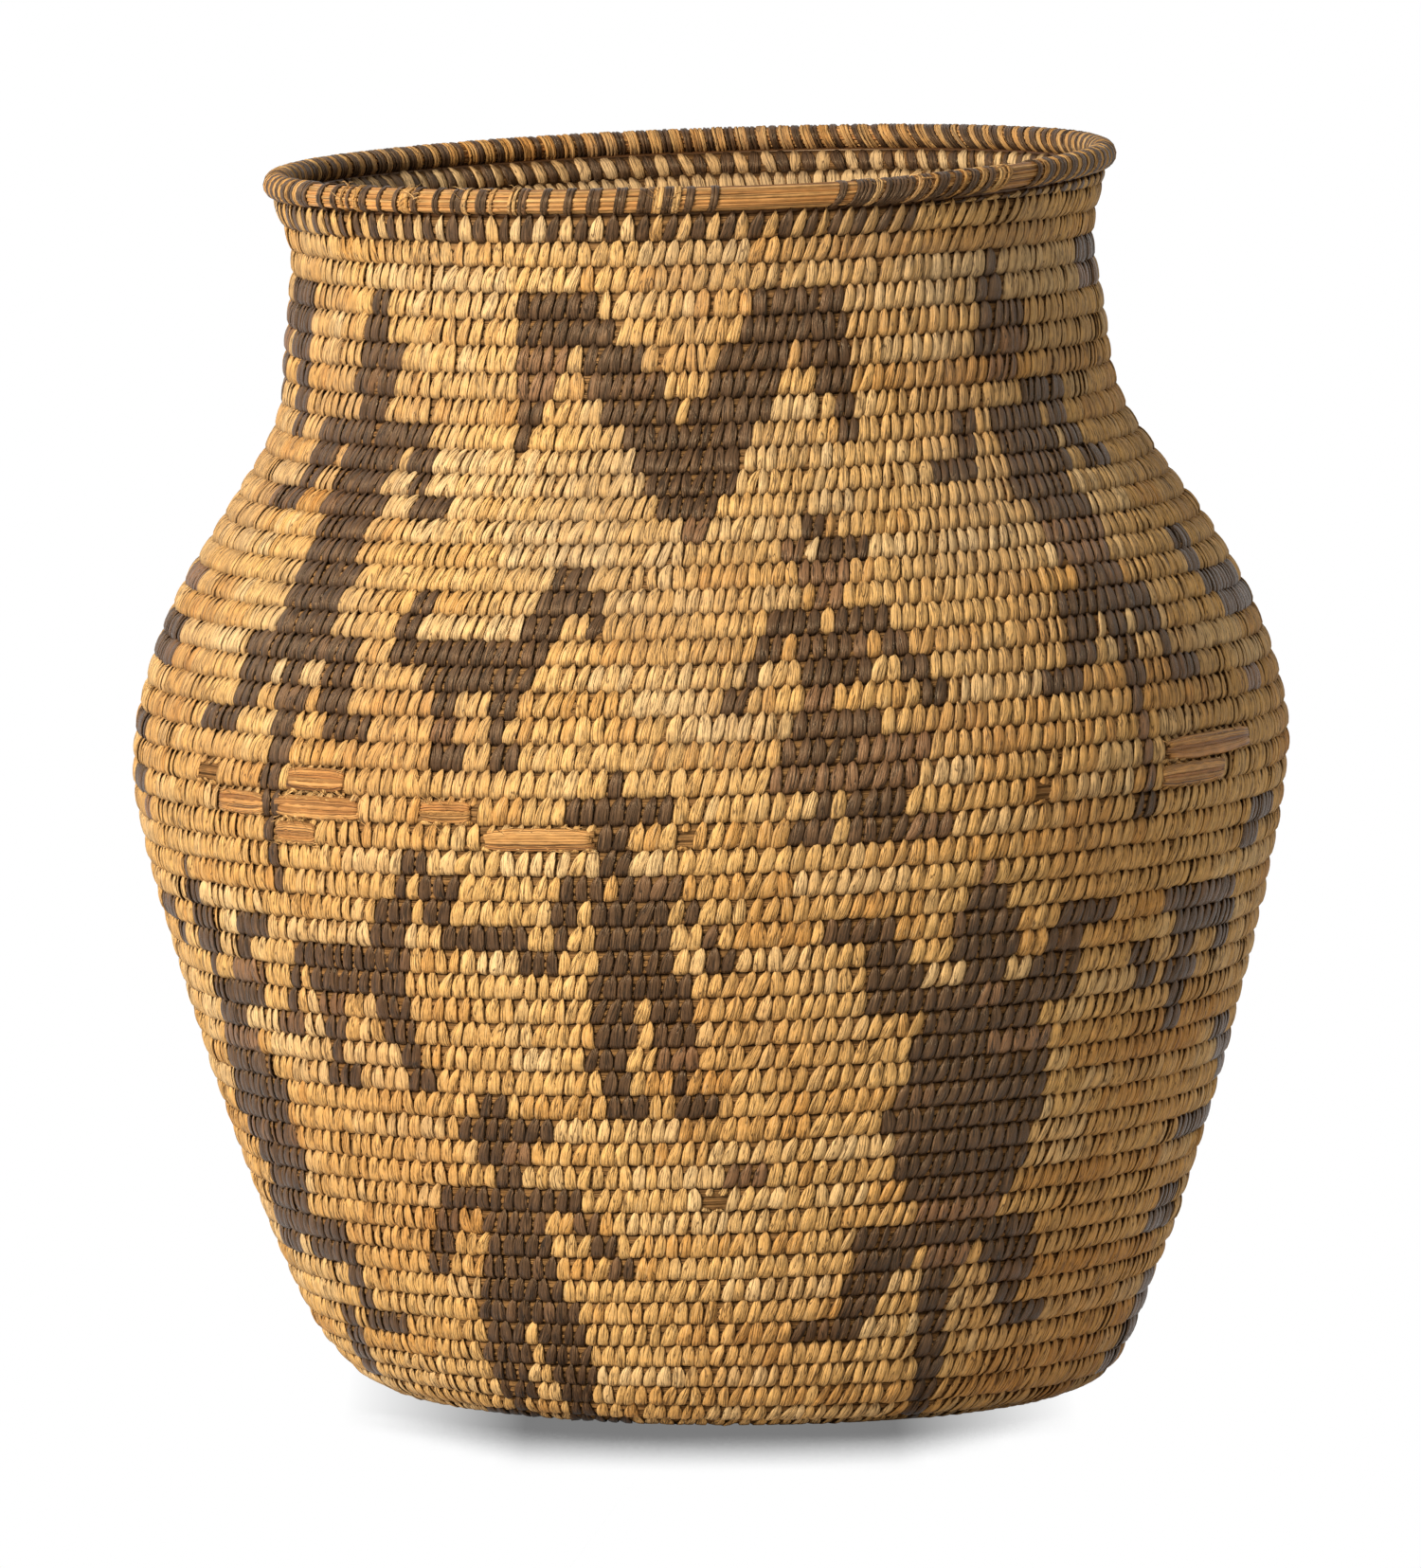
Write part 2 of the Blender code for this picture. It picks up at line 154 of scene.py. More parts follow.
# The dark figures, as the photograph shows them: each row of the coil with the first and last pixel
# column of its dark runs, and how brown a faded run is
BROWN = 0.8
NECK_ZIGZAG = {
    5: ((546, 637), (801, 890)), 6: ((545, 658), (782, 897)),
    7: ((545, 594, BROWN), (613, 682), (763, 836), (852, 901)),
    8: ((544, 580, BROWN), (625, 632), (636, 700), (744, 822), (866, 901)),
    9: ((544, 566), (640, 717), (731, 810), (877, 902)), 10: ((542, 554), (653, 798), (890, 904)),
    11: ((667, 789),), 12: ((679, 776),), 13: ((697, 759),), 14: ((716, 744, BROWN),),
}
LEFT_NECK_MAN = {
    5: ((395, 406),), 6: ((383, 411),), 7: ((377, 423),), 8: ((375, 419),), 9: ((382, 406),),
    10: ((337, 457),), 11: ((330, 352), (360, 422), (430, 454)),
    12: ((322, 335), (350, 402), (434, 447)), 13: ((288, 318), (338, 402), (432, 476)),
    14: ((335, 390),), 15: ((323, 381),), 16: ((314, 374),), 17: ((301, 361),), 18: ((295, 352),),
    19: ((261, 375),), 20: ((253, 288), (298, 320), (334, 369)),
    21: ((247, 272), (291, 320), (338, 368)), 22: ((216, 251), (288, 310), (344, 393)),
    23: ((282, 307),), 24: ((275, 298),), 25: ((275, 291),), 26: ((275, 291),), 27: ((279, 290),),
    28: ((286, 294),),
}
LEFT_EDGE_MARKS = {
    5: ((308, 332),), 6: ((300, 329),), 7: ((298, 304, BROWN), (308, 325)), 8: ((292, 301), (311, 323)),
    9: ((292, 298), (311, 322)), 10: ((311, 321),), 17: ((197, 210, BROWN),), 19: ((175, 192),),
    20: ((160, 183),), 23: ((140, 151),), 25: ((141, 151),), 26: ((153, 159, BROWN),),
}
UPPER_ANIMAL = {
    16: ((580, 630),), 17: ((433, 455), (563, 635)), 18: ((420, 441), (551, 594), (621, 633)),
    19: ((416, 577),), 20: ((446, 562),), 21: ((455, 478), (515, 543)),
    22: ((454, 475, BROWN), (516, 538)), 23: ((448, 484), (516, 548)),
}
MIDDLE_MAN = {
    14: ((852, 871),), 15: ((820, 857, BROWN), (858, 914)), 16: ((849, 897, BROWN),),
    17: ((868, 889, BROWN),), 18: ((814, 831), (835, 866), (878, 943)),
    19: ((794, 822), (839, 923), (938, 961)), 20: ((783, 808), (840, 929), (955, 982)),
    21: ((765, 796), (845, 881, BROWN), (976, 1000)), 22: ((837, 936),),
    23: ((825, 897), (898, 984, BROWN)), 24: ((816, 975, BROWN),), 25: ((863, 886), (900, 955)),
    26: ((837, 888), (900, 953), (955, 1000, BROWN)),
}
RIGHT_NECK_MAN = {
    4: ((1041, 1057), (1137, 1157)), 5: ((1038, 1063), (1140, 1160, BROWN)), 6: ((1032, 1081),),
    7: ((1034, 1060), (1060, 1088, BROWN)), 8: ((1048, 1074, BROWN),), 9: ((1083, 1122),),
    10: ((1010, 1035), (1046, 1100), (1108, 1126)), 11: ((1014, 1035), (1053, 1116), (1126, 1142)),
    12: ((986, 1033), (1065, 1130), (1146, 1173)), 13: ((1074, 1130),), 14: ((1090, 1152),),
    15: ((1104, 1162, BROWN),), 16: ((1117, 1174, BROWN),), 17: ((1139, 1186),), 18: ((1117, 1217),),
    19: ((1128, 1162), (1174, 1195), (1202, 1226)), 20: ((1131, 1153), (1183, 1205), (1226, 1238)),
    21: ((1102, 1147), (1186, 1209), (1241, 1269)), 22: ((1194, 1212),), 23: ((1202, 1217, BROWN),),
    24: ((1208, 1223, BROWN),), 25: ((1208, 1221, BROWN),), 26: ((1205, 1218),), 27: ((1205, 1214),),
}
RIGHT_EDGE_MARKS = {
    16: ((1238, 1254),), 17: ((1254, 1266),), 18: ((1269, 1306),), 19: ((1290, 1321),),
    22: ((1319, 1333, BROWN),), 27: ((1321, 1345),), 28: ((1313, 1327),),
}
CENTRE_MAN = {
    24: ((640, 664),), 25: ((600, 627), (629, 707)), 26: ((626, 666), (672, 684)), 27: ((640, 672),),
    28: ((592, 644), (647, 722)), 29: ((584, 614), (627, 698), (716, 742)),
    30: ((578, 603), (632, 704), (734, 759)), 31: ((553, 594), (630, 707), (750, 780)),
    32: ((617, 638), (641, 728)), 33: ((618, 667), (684, 734)), 34: ((621, 669), (690, 734)),
    35: ((623, 663), (699, 733, BROWN)), 36: ((638, 663), (707, 733)), 37: ((641, 687), (710, 762)),
    40: ((769, 812, BROWN),),
}
LOWER_ANIMAL = {
    27: ((425, 432), (441, 452)), 28: ((411, 428), (443, 459), (460, 484)),
    29: ((398, 436), (444, 471)), 30: ((393, 427), (467, 556)), 31: ((304, 433),),
    32: ((302, 318), (325, 427)), 33: ((304, 317), (330, 361, BROWN), (398, 432)),
    34: ((291, 318, BROWN), (338, 365), (409, 438)), 35: ((346, 366), (422, 444)),
    36: ((350, 384), (428, 465)),
}
LOWER_LEFT_MAN = {
    37: ((510, 528),), 38: ((478, 577),), 39: ((502, 530), (530, 555, BROWN)), 40: ((517, 549),),
    41: ((461, 617),),
    42: ((457, 483), (511, 577), (603, 634)), 43: ((453, 479), (516, 583), (621, 649)),
    44: ((450, 475), (513, 586), (635, 669)), 45: ((510, 596),), 46: ((506, 617),),
    47: ((509, 559), (570, 621)), 48: ((513, 558), (576, 627)), 49: ((523, 558), (582, 625)),
    50: ((528, 562), (591, 628)), 51: ((537, 559), (603, 631)), 52: ((517, 568), (607, 663)),
}
GREAT_FIGURE = {
    28: ((1033, 1055, BROWN),), 29: ((1018, 1062),), 30: ((875, 941), (1004, 1074), (1122, 1175)),
    31: ((918, 958), (1005, 1073), (1108, 1143)), 32: ((918, 983), (1014, 1058), (1090, 1141)),
    33: ((918, 1032), (1032, 1064, BROWN), (1064, 1140)), 34: ((980, 1096),),
    35: ((968, 1038), (1038, 1108, BROWN)), 36: ((954, 1108),), 37: ((941, 1108),),
    38: ((939, 1105),), 39: ((952, 1093),), 40: ((951, 1090),), 41: ((963, 1073),), 42: ((965, 1052, BROWN),),
    43: ((904, 1095),), 44: ((902, 965), (976, 1020, BROWN), (1034, 1090)),
    45: ((887, 937), (969, 1009), (1042, 1085)), 46: ((884, 924), (970, 1007), (1053, 1076)),
    47: ((843, 910), (967, 1001), (1055, 1101)), 48: ((966, 993),), 49: ((967, 988),),
    50: ((961, 985),), 51: ((954, 975),), 52: ((951, 962),),
}
LEFT_SIDE_FIGURE = {
    28: ((192, 200),), 29: ((196, 212),), 30: ((172, 184), (199, 226), (248, 279)),
    31: ((188, 196), (208, 232), (250, 266)), 32: ((220, 228), (247, 275, BROWN)), 33: ((223, 279),),
    34: ((231, 259),), 35: ((234, 274, BROWN),), 36: ((239, 287),), 37: ((247, 299),),
    38: ((250, 306),), 39: ((259, 309),), 40: ((275, 318),), 41: ((285, 320),), 42: ((285, 320),),
    43: ((288, 365),), 44: ((295, 320), (330, 376)), 45: ((368, 385),), 46: ((377, 391),),
    47: ((360, 377), (391, 427)), 48: ((368, 384),), 49: ((374, 388),), 50: ((382, 396),),
}
RIGHT_SIDE_FIGURE = {
    30: ((1234, 1306),), 31: ((1240, 1304),), 32: ((1196, 1213), (1241, 1260), (1287, 1298)),
    33: ((1203, 1222), (1234, 1263)), 34: ((1234, 1251),), 35: ((1228, 1249),), 36: ((1284, 1298),),
    37: ((1284, 1298),), 38: ((1284, 1298),), 40: ((1243, 1281),), 43: ((1225, 1243),),
    44: ((1213, 1237),), 47: ((1205, 1217),), 48: ((1195, 1211),), 49: ((1182, 1198),),
    50: ((1163, 1179),),
}
FIGURES = (
    NECK_ZIGZAG, LEFT_NECK_MAN, LEFT_EDGE_MARKS, UPPER_ANIMAL, MIDDLE_MAN, RIGHT_NECK_MAN,
    RIGHT_EDGE_MARKS, CENTRE_MAN, LOWER_ANIMAL, LOWER_LEFT_MAN, GREAT_FIGURE, LEFT_SIDE_FIGURE,
    RIGHT_SIDE_FIGURE,
)
# Single stitches that have worn through: the row with the pixel columns
SMALL_HOLES = {24: ((206, 230),), 25: ((1101, 1116),), 26: ((722, 737),), 41: ((743, 761),)}
# The top turn is sewn with dark and light splints in turn
CHECKED_TURNS = 1.02

# Splints of the rim, from its left end to where they lie side by side again: the pixel column of the
# middle of each, and how many narrow strands it is wide
RIM_DARK = (
    (321, 2), (337, 2), (351, 2), (366, 1), (382, 2), (399, 1), (416, 2), (436, 2), (459, 2), (481, 3),
    (506, 3), (550, 2), (574, 2), (599, 2), (625, 3), (653, 3), (680, 4), (704, 3), (727, 2), (753, 2),
    (887, 2), (907, 3), (916, 2), (936, 3), (947, 3), (958, 2), (975, 2), (992, 3), (1006, 2),
    (1025, 3), (1043, 2), (1094, 2),
)
RIM_LIGHT = (
    (360, 1), (374, 2), (426, 3), (489, 2), (517, 1), (539, 2), (692, 3), (713, 2), (925, 2), (968, 2),
    (983, 1), (1015, 1), (1034, 2), (1054, 2), (1062, 2),
)


def outline():
    """The (radius, height) line of the middle of the wall, a smooth curve through its named points, and
    the way along it to each point."""

    def between(start, end, shares):
        rise, widening = end[1] - start[1], end[0] - start[0]
        return [(start[0] + out * widening, start[1] + up * rise) for up, out in shares] + [end]

    rest = COIL_THICKNESS / 2 - REST_FLAT_DEPTH
    hollow_edge = (HOLLOW_EDGE_SHARE * REST_RADIUS, rest + HOLLOW_EDGE_RISE_SHARE * BASE_HOLLOW)
    base = (BASE_RADIUS, rest)
    belly = (BELLY_RADIUS, BELLY_HEIGHT)
    shoulder = (SHOULDER_RADIUS, BELLY_HEIGHT + SHOULDER_RISE)
    neck = (NECK_RADIUS, BELLY_HEIGHT + SHOULDER_RISE + NECK_RISE)
    points = [(0, rest + BASE_HOLLOW), hollow_edge, (REST_RADIUS, rest), base]
    points += between(base, belly, HEEL_TO_BELLY_SHARES)
    points += between(belly, shoulder, BELLY_TO_SHOULDER_SHARES)
    points += between(shoulder, neck, SHOULDER_TO_NECK_SHARES)
    points += between(neck, (LIP_RADIUS, neck[1] + LIP_RISE), NECK_TO_LIP_SHARES)
    points = np.array(points)
    ends = np.vstack([2 * points[0] - points[1], points, 2 * points[-1] - points[-2]])
    curve = []
    for p0, p1, p2, p3 in zip(ends, ends[1:], ends[2:], ends[3:]):
        t1 = np.linalg.norm(p1 - p0) ** 0.5
        t2 = t1 + np.linalg.norm(p2 - p1) ** 0.5
        t3 = t2 + np.linalg.norm(p3 - p2) ** 0.5
        for t in np.linspace(t1, t2, CURVE_STEPS, endpoint=False):
            a1 = ((t1 - t) * p0 + t * p1) / t1
            a2 = ((t2 - t) * p1 + (t - t1) * p2) / (t2 - t1)
            a3 = ((t3 - t) * p2 + (t - t2) * p3) / (t3 - t2)
            b1 = ((t2 - t) * a1 + t * a2) / t2
            b2 = ((t3 - t) * a2 + (t - t1) * a3) / (t3 - t1)
            curve.append(((t2 - t) * b1 + (t - t1) * b2) / (t2 - t1))
    line = np.array(curve + [points[-1]])
    line[:, 1] = np.maximum(line[:, 1], rest)
    return line, np.concatenate([[0], np.cumsum(np.linalg.norm(np.diff(line, axis=0), axis=1))])


OUTLINE, OUTLINE_ARC = outline()
WALL_LENGTH = OUTLINE_ARC[-1]
PITCH = WALL_LENGTH / (TURNS - 0.5)


def on_outline(arc):
    """(radius, height) of points of the middle of the wall."""
    return np.stack([np.interp(arc, OUTLINE_ARC, column) for column in OUTLINE.T], -1)


def place(angle, arc, outward):
    """Points of the settled basket, at a direction, a way along the wall and a way out from its middle."""
    angle, arc, outward = np.broadcast_arrays(angle, np.asarray(arc, float), outward)
    on_wall = np.minimum(arc, WALL_LENGTH)
    along = on_outline(on_wall + PITCH / 4) - on_outline(on_wall - PITCH / 4)
    along /= np.linalg.norm(along, axis=-1, keepdims=True)
    out = np.stack([along[..., 1], -along[..., 0]], -1)
    point = on_outline(on_wall) + (arc - on_wall)[..., None] * along + outward[..., None] * out
    radius, height = point[..., 0], np.maximum(point[..., 1], 0)
    share = np.clip(height / SETTLED_HEIGHT, 0, 1)
    tilt = TILT * share * share * (3 - 2 * share)
    across = radius * np.cos(angle)
    x = BELLY_HEIGHT * math.sin(TILT) + across * np.cos(tilt) - height * np.sin(tilt)
    return np.stack([x, radius * np.sin(angle), height * np.cos(tilt) + across * np.sin(tilt)], -1)


def radius_at(arc):
    """Radius of the middle of the wall."""
    return np.interp(arc, OUTLINE_ARC, OUTLINE[:, 0])


def coil_arc(turns):
    """How far along the wall this many coils reach, side by side. They are thicker towards the rim."""
    share = np.asarray(turns, float) / (TURNS - 0.5)
    return WALL_LENGTH * share * (1 + GROWTH_SHARE * share) / (1 + GROWTH_SHARE)


def seam(turn):
    """How far along the wall the seam lies that tops this turn of the coil. The last turn thins out."""
    thinned = np.maximum(turn - (TURNS - 1), 0) ** END_POWER
    return coil_arc(np.maximum(turn + 0.5 - thinned, KNOT_TURNS))


def direction(turn):
    """The direction from the middle of the basket to this turn of the coil."""
    return START_DIRECTION - FULL_TURN * turn


def turn_at(turn, angle):
    """The turn, counted in whole turns and a part, where the coil comes to a direction."""
    return turn + (START_DIRECTION - angle) / FULL_TURN % 1


def coil_at(turn):
    """The way along the wall to the middle of the coil at this turn, how high the coil is along the
    wall, and how far it stands out from the middle of the wall."""
    low, high = seam(turn - 1), seam(turn)
    full = coil_arc(turn + 0.5) - coil_arc(turn - 0.5)
    rise = SEAM_THICKNESS / 2 + np.minimum((high - low) / full, 1) * (COIL_THICKNESS - SEAM_THICKNESS) / 2
    return (low + high) / 2, high - low, rise


def rim_arc(angle):
    """How far along the wall the middle of the rim coil lies, on the coil's last turn."""
    before_end = (angle - direction(TURNS)) / FULL_TURN % 1
    return seam(TURNS - before_end) + CLEARANCE + RIM_COIL_RADIUS


def seen_columns(point):
    """The pixel columns of the photograph in which points are seen."""
    back = CAMERA_DISTANCE + point[..., 1] * math.cos(CAMERA_ELEVATION)
    back -= (point[..., 2] - CAMERA_AIM_HEIGHT) * math.sin(CAMERA_ELEVATION)
    return PHOTO_WIDTH / 2 + PIXELS_PER_METRE * CAMERA_DISTANCE * point[..., 0] / back


def seen_angle(row, columns):
    """The directions in which a row passes these pixel columns of the photograph."""
    turn = FRONT_TURN_OF_ROW_0 - row - (FRONT_ANGLES - FRONT) / FULL_TURN
    arc = coil_arc(turn) if row > 1 else rim_arc(FRONT_ANGLES)
    seen = seen_columns(place(FRONT_ANGLES, arc, COIL_THICKNESS / 2))
    visible = slice(seen.argmin(), seen.argmax() + 1)
    return np.interp(columns, seen[visible], FRONT_ANGLES[visible])


def row_and_seen_angle(turn):
    """The row of each stitch, and the direction of the front that it has or, at the back, mirrors."""
    angle = (direction(turn) - ROW_WINDOW_START) % FULL_TURN + ROW_WINDOW_START
    row = np.rint(FRONT_TURN_OF_ROW_0 - turn - (angle - FRONT) / FULL_TURN)
    return row, -np.abs((angle + math.pi) % FULL_TURN - math.pi)


def sewn_dark(turn):
    """How dark the figures have each stitch: 0 where it is light, 1 where dark, BROWN where faded."""
    row, angle = row_and_seen_angle(turn)
    shade = np.zeros(len(turn))
    for figure in FIGURES:
        for number, spans in figure.items():
            for start, end, *faded in spans:
                first, last = seen_angle(number, (start, end))
                shade[(row == number) & (angle > first) & (angle < last)] = faded[0] if faded else 1
    checked = turn > TURNS - CHECKED_TURNS
    shade[checked] = np.arange(np.count_nonzero(checked)) % 2
    return shade


def worn_through(turn):
    """Which stitches have worn away."""
    worn = np.zeros(len(turn), bool)
    for run_turn, degrees, length in WORN_RUNS.values():
        middle = turn_at(run_turn, math.radians(degrees))
        worn |= np.abs(turn - middle) < length / 2 / FULL_TURN / radius_at(coil_arc(middle))
    row, angle = row_and_seen_angle(turn)
    front = np.sin(direction(turn)) < 0
    for number, spans in SMALL_HOLES.items():
        for span in spans:
            first, last = seen_angle(number, span)
            worn |= front & (row == number) & (angle > first) & (angle < last)
    return worn


# One stitch's way round the coil: (along the wall in coil heights, outward in rises of the coil, width
# share, share of dirt and painted shade). It goes up the outside, over into the seam and down the inside.
# The painted shade darkens its ends, down in the seams between the rows.
STITCH_STATIONS = (
    (-0.60, 0.08, 0.62, 1.00),
    (-0.53, 0.42, 0.86, 0.85),
    (-0.44, 0.70, 0.97, 0.35),
    (-0.27, 0.90, 1.00, 0.05),
    (-0.05, 0.95, 1.00, 0.00),
    (0.16, 0.94, 0.96, 0.00),
    (0.34, 0.88, 0.83, 0.00),
    (0.49, 0.76, 0.56, 0.05),
    (0.61, 0.58, 0.25, 0.25),
    (0.68, 0.25, 0.08, 0.95),
    (0.50, -0.55, 0.55, 0.60),
    (0.25, -0.88, 0.92, 0.05),
    (-0.10, -0.95, 1.00, 0.00),
    (-0.42, -0.76, 0.80, 0.25),
)
# What is left of a worn stitch: its lower end and its upper end, curled away from the coil
LOWER_STUB_STATIONS = (
    (-0.30, -0.90, 0.90, 0.20),
    (-0.52, -0.55, 0.60, 0.90),
    (-0.62, 0.20, 0.60, 1.00),
    (-0.54, 0.54, 0.80, 0.75),
    (-0.44, 0.76, 0.85, 0.20),
    (-0.35, 0.93, 0.40, 0.00),
)
UPPER_STUB_STATIONS = (
    (0.28, 0.93, 0.35, 0.00),
    (0.37, 0.82, 0.70, 0.10),
    (0.52, 0.66, 0.45, 0.25),
    (0.66, 0.30, 0.15, 0.90),
    (0.50, -0.55, 0.55, 0.60),
    (-0.10, -0.93, 0.95, 0.10),
)
# Across a splint: (share of its half width, share of its thickness, share of dirt and painted shade, darkest
# on the hidden underside)
SPLINT_SECTION = (
    (-1, -0.95, 0.3), (-0.76, -0.14, 0.0), (0, 0.04, 0.0),
    (0.76, -0.14, 0.0), (1, -0.95, 0.3), (0, -1.15, 1.0),
)
SECTION_ACROSS, SECTION_DEPTH, SECTION_DIRT_AND_SHADE = np.array(SPLINT_SECTION).T

# How close the stitches lie from the base to the rim, beside the common pitch, and the step in turns of
# the table that is made of it
PITCH_TURNS = (12, 20, 28, 40, 50, 60, 65)
PITCH_SHARES = (0.84, 0.84, 0.89, 0.93, 0.95, 1.04, 1.06)
PITCH_TABLE_STEP = 0.05
# Where the first stitch lies before the edge of the knot and the last one before the coil's end, in turns
FIRST_STITCH_TURNS = 0.35
LAST_STITCH_TURNS = 0.02
# How much the steps between stitches vary, the least and the widest, in steps, and how far a stitch is
# drawn to the place between two stitches below
STEP_SCATTER = 0.06
LEAST_STEP_SHARE = 0.58
WIDEST_STEP_SHARE = 1.5
NESTING_SHARE = 0.75
# What each stitch has by chance: mean and spread. The lean and the bow are in pitches.
STITCH_SCATTER = {
    "half_width": (1, 0.09),
    "lean": (0, 0.15),
    "bow": (0.1, 0.18),
    "thickness": (1, 0.15),
    "roll": (0, 0.42),
    "reach": (1, 0.04),
}
PRESSED_SHARES = (0.965, 1.0)
# A bow moves both ends of a stitch one way and, by this share, its middle the other way
BOW_MIDDLE_SHARE = 0.1
# How many stitches one splint sews, and how much their tones vary
STITCHES_TO_A_SPLINT = (4, 18)
TONE_SCATTER = 0.13
# How much paler the splints are on the inside, where nothing has handled them
INSIDE_PALENESS = 0.8
# Seed pod splints are split finer
DARK_WIDTH_SHARE = 0.93
# The highest tone of black ones, and the lowest tone and the range of faded ones
BLACK_TONE_SHARE = 0.7
FADED_TONES = (0.75, 0.25)

# The rods in the coil: (along the wall in coil heights, outward in rises of the coil, share of dirt and
# painted shade, darkest in the grooves between the rods and where they meet the next coil)
ROD_SECTION = (
    (-0.5, 0.34, 1.0), (-0.40, 0.60, 0.3), (-0.30, 0.72, 0.0), (-0.20, 0.68, 0.2), (-0.155, 0.60, 0.9),
    (-0.09, 0.73, 0.1), (0, 0.78, 0.0), (0.09, 0.73, 0.1), (0.155, 0.60, 0.9), (0.20, 0.68, 0.2),
    (0.30, 0.72, 0.0), (0.40, 0.60, 0.3), (0.5, 0.34, 1.0), (0.5, -0.38, 1.0), (0.2, -0.72, 0.2),
    (-0.2, -0.72, 0.2), (-0.5, -0.38, 1.0),
)
# From one ring of points to the next, as a length and as the widest angle, and how many rings share a
# strip of the bake's map
ROD_STEP = 0.007
ROD_BEND = 0.35
RINGS_TO_A_STRIP = 40

# The knot: its wraps, the stations of each, and its shape in shares of its size
KNOT_WRAPS = 11
KNOT_STATIONS = 12
KNOT_CENTRE_SHARE = 0.04
KNOT_REACH_SHARE = 0.42
KNOT_RISE_SHARE = 0.45
KNOT_FILL_SHARE = 0.9
KNOT_ROLL = 0.2
KNOT_CORE_REACH_SHARE = 0.72
KNOT_CORE_RISE_SHARE = 0.33
KNOT_CORE_SIDES = 16
KNOT_CORE_RINGS = 9
KNOT_CORE_OPENING = 0.01
KNOT_CORE_GRAIN = (2, 2, 5.0)
KNOT_CORE_SHADE = (0.5, 0.5, 0.0)

# The bundle of strands in the rim, with their lowest tone and its range and the slow waves in which they
# lie, the core that fills the bundle, and the thin rod below it, between the rim and the last turn
RIM_STRANDS = 14
RIM_STRAND_SPREAD = 0.00225
RIM_STRAND_RADIUS = 0.00062
RIM_STRAND_TONES = (0.25, 0.75)
RIM_SPREAD_SCATTER = 0.035
RIM_WAVES = 3
RIM_WAVE_ANGLE = 0.12
RIM_RINGS = 180
RIM_CORE_RADIUS = 0.0023
RIM_LACING_RADIUS = 0.0009
RIM_CORE_SIDES = 12
# The core and the thin rod take the deepest bare tone and are darkened almost fully with painted shade, as
# they lie between and below the strands
RIM_CORE_SHADE = (1.0, 0.9, 0.0)
RIM_RINGS_TO_A_STRIP = 30
# The splints that are wound round it in strands: their radius, step and stations, the size of a strand,
# its chance, and its dirt and painted shade, with painted shade under the rim
RIM_SPLINT_RADIUS = 0.0034
RIM_SPLINT_STEP = 0.00275
RIM_SPLINT_STATIONS = 14
WOUND_STRAND_STEP = 0.0009
WOUND_STRAND_HALF_WIDTH = 0.00056
WOUND_STRAND_THICKNESS = 0.0004
WOUND_STRAND_SHIFT = 0.00012
WOUND_RADIUS_SHARES = (0.95, 1.0)
WOUND_WIDTH_SCATTER = 0.12
WOUND_PINCH_SHARE = 0.1
WOUND_ROLL = 0.25
WOUND_TONES = 0.55
WOUND_TONE_SCATTER = 0.1
WOUND_EDGE_DIRT_AND_SHADE = 0.6
WOUND_UNSHADED_SHARE = 0.6
LIGHT_RIM_TONE = 0.7
# Where they lie side by side, how many strands the narrow and the wide ones have, and how far each may
# be out of place. Dark splints are the wide ones past this share of the radius to either side, light
# ones between.
RIM_SPLINT_STRANDS = (2, 3)
RIM_SPLINT_SCATTER = 0.002
DARK_RIM_SHARE = 0.6
# How far the rim's splints lean, from its left end over the front to its right end
RIM_LEAN_PLACES = (-1, 0.2, 0.6, 1)
RIM_LEANS = (0.0006, 0.0007, 0.0027, 0.002)

# The strands of a bare place on the belly: where they end, how they spread over the coil and taper to its
# ends, how they rise over it, how they waver across and out, their widths, and their lowest tone and its
# range
WORN_STRANDS = 5
WORN_RINGS = 15
WORN_END_SHARES = (0.93, 1.02)
WORN_SPREAD_SHARE = 0.31
WORN_TAPER_SHARE = 0.3
WORN_RISE_SHARE = 0.74
WORN_CREST_SHARE = 0.1
WORN_WAVER_SHARE = 0.008
WORN_WAVER_OUT = 0.00006
WORN_STRAND_RADIUS = 0.00078
WORN_STRAND_SHARES = (0.75, 1.25)
WORN_FLATNESS = 0.5
WORN_TONES = (0.45, 0.55)
STRAND_SIDES = 6
STRAND_SCATTER = 0.07

# Fine fibres that stand off where the splints are worn, and off the frayed splints of the rim, with the
# lowest tone and its range
FIBRES_TO_A_RUN = 14
FIBRES_TO_A_FRAY = 4
FIBRE_RINGS = 8
FIBRE_RADIUS = 0.00011
FIBRE_LENGTHS = (0.0015, 0.0042)
FIBRE_WIDTH_SHARES = (0.7, 1.5)
FIBRE_LIFT = 0.0007
FIBRE_CURL = 0.4
FIBRE_TONES = (0, 0.4)
# How they bow out on the way, in radians of a sine, and how they taper
FIBRE_BOW = 2.4
FIBRE_TAPER = 1.1
# Where they start: along a bare place and beside it, in half lengths and in half coil heights, and how
# far up the outside of the rim, in radians. Slopes tell how steeply they climb.
FIBRE_ALONG_SHARES = (-1.1, 1.1)
FIBRE_EDGE_SHARES = (0.7, 1.0)
FIBRE_OUT_SHARE = 0.9
RUN_SLOPES = (-0.6, 0.6)
FRAY_WAYS = (0.1, 1.7)
FRAY_SCATTER = 0.006
FRAY_SLOPES = (0.1, 1.3)
FRAY_OUT_SHARE = 0.97
# Where they fray off the rim: the pixel column, and how far they may rise above the rim
FRAYS = (
    (362, 0.001), (376, 0.001), (426, 0.002), (434, 0.0032), (437, 0.0034), (441, 0.003), (489, 0.001),
    (517, 0.0015), (539, 0.001), (692, 0.001), (713, 0.0012), (925, 0.001), (968, 0.0012),
    (977, 0.0016), (984, 0.0016), (1054, 0.0005), (1062, 0.0004),
)

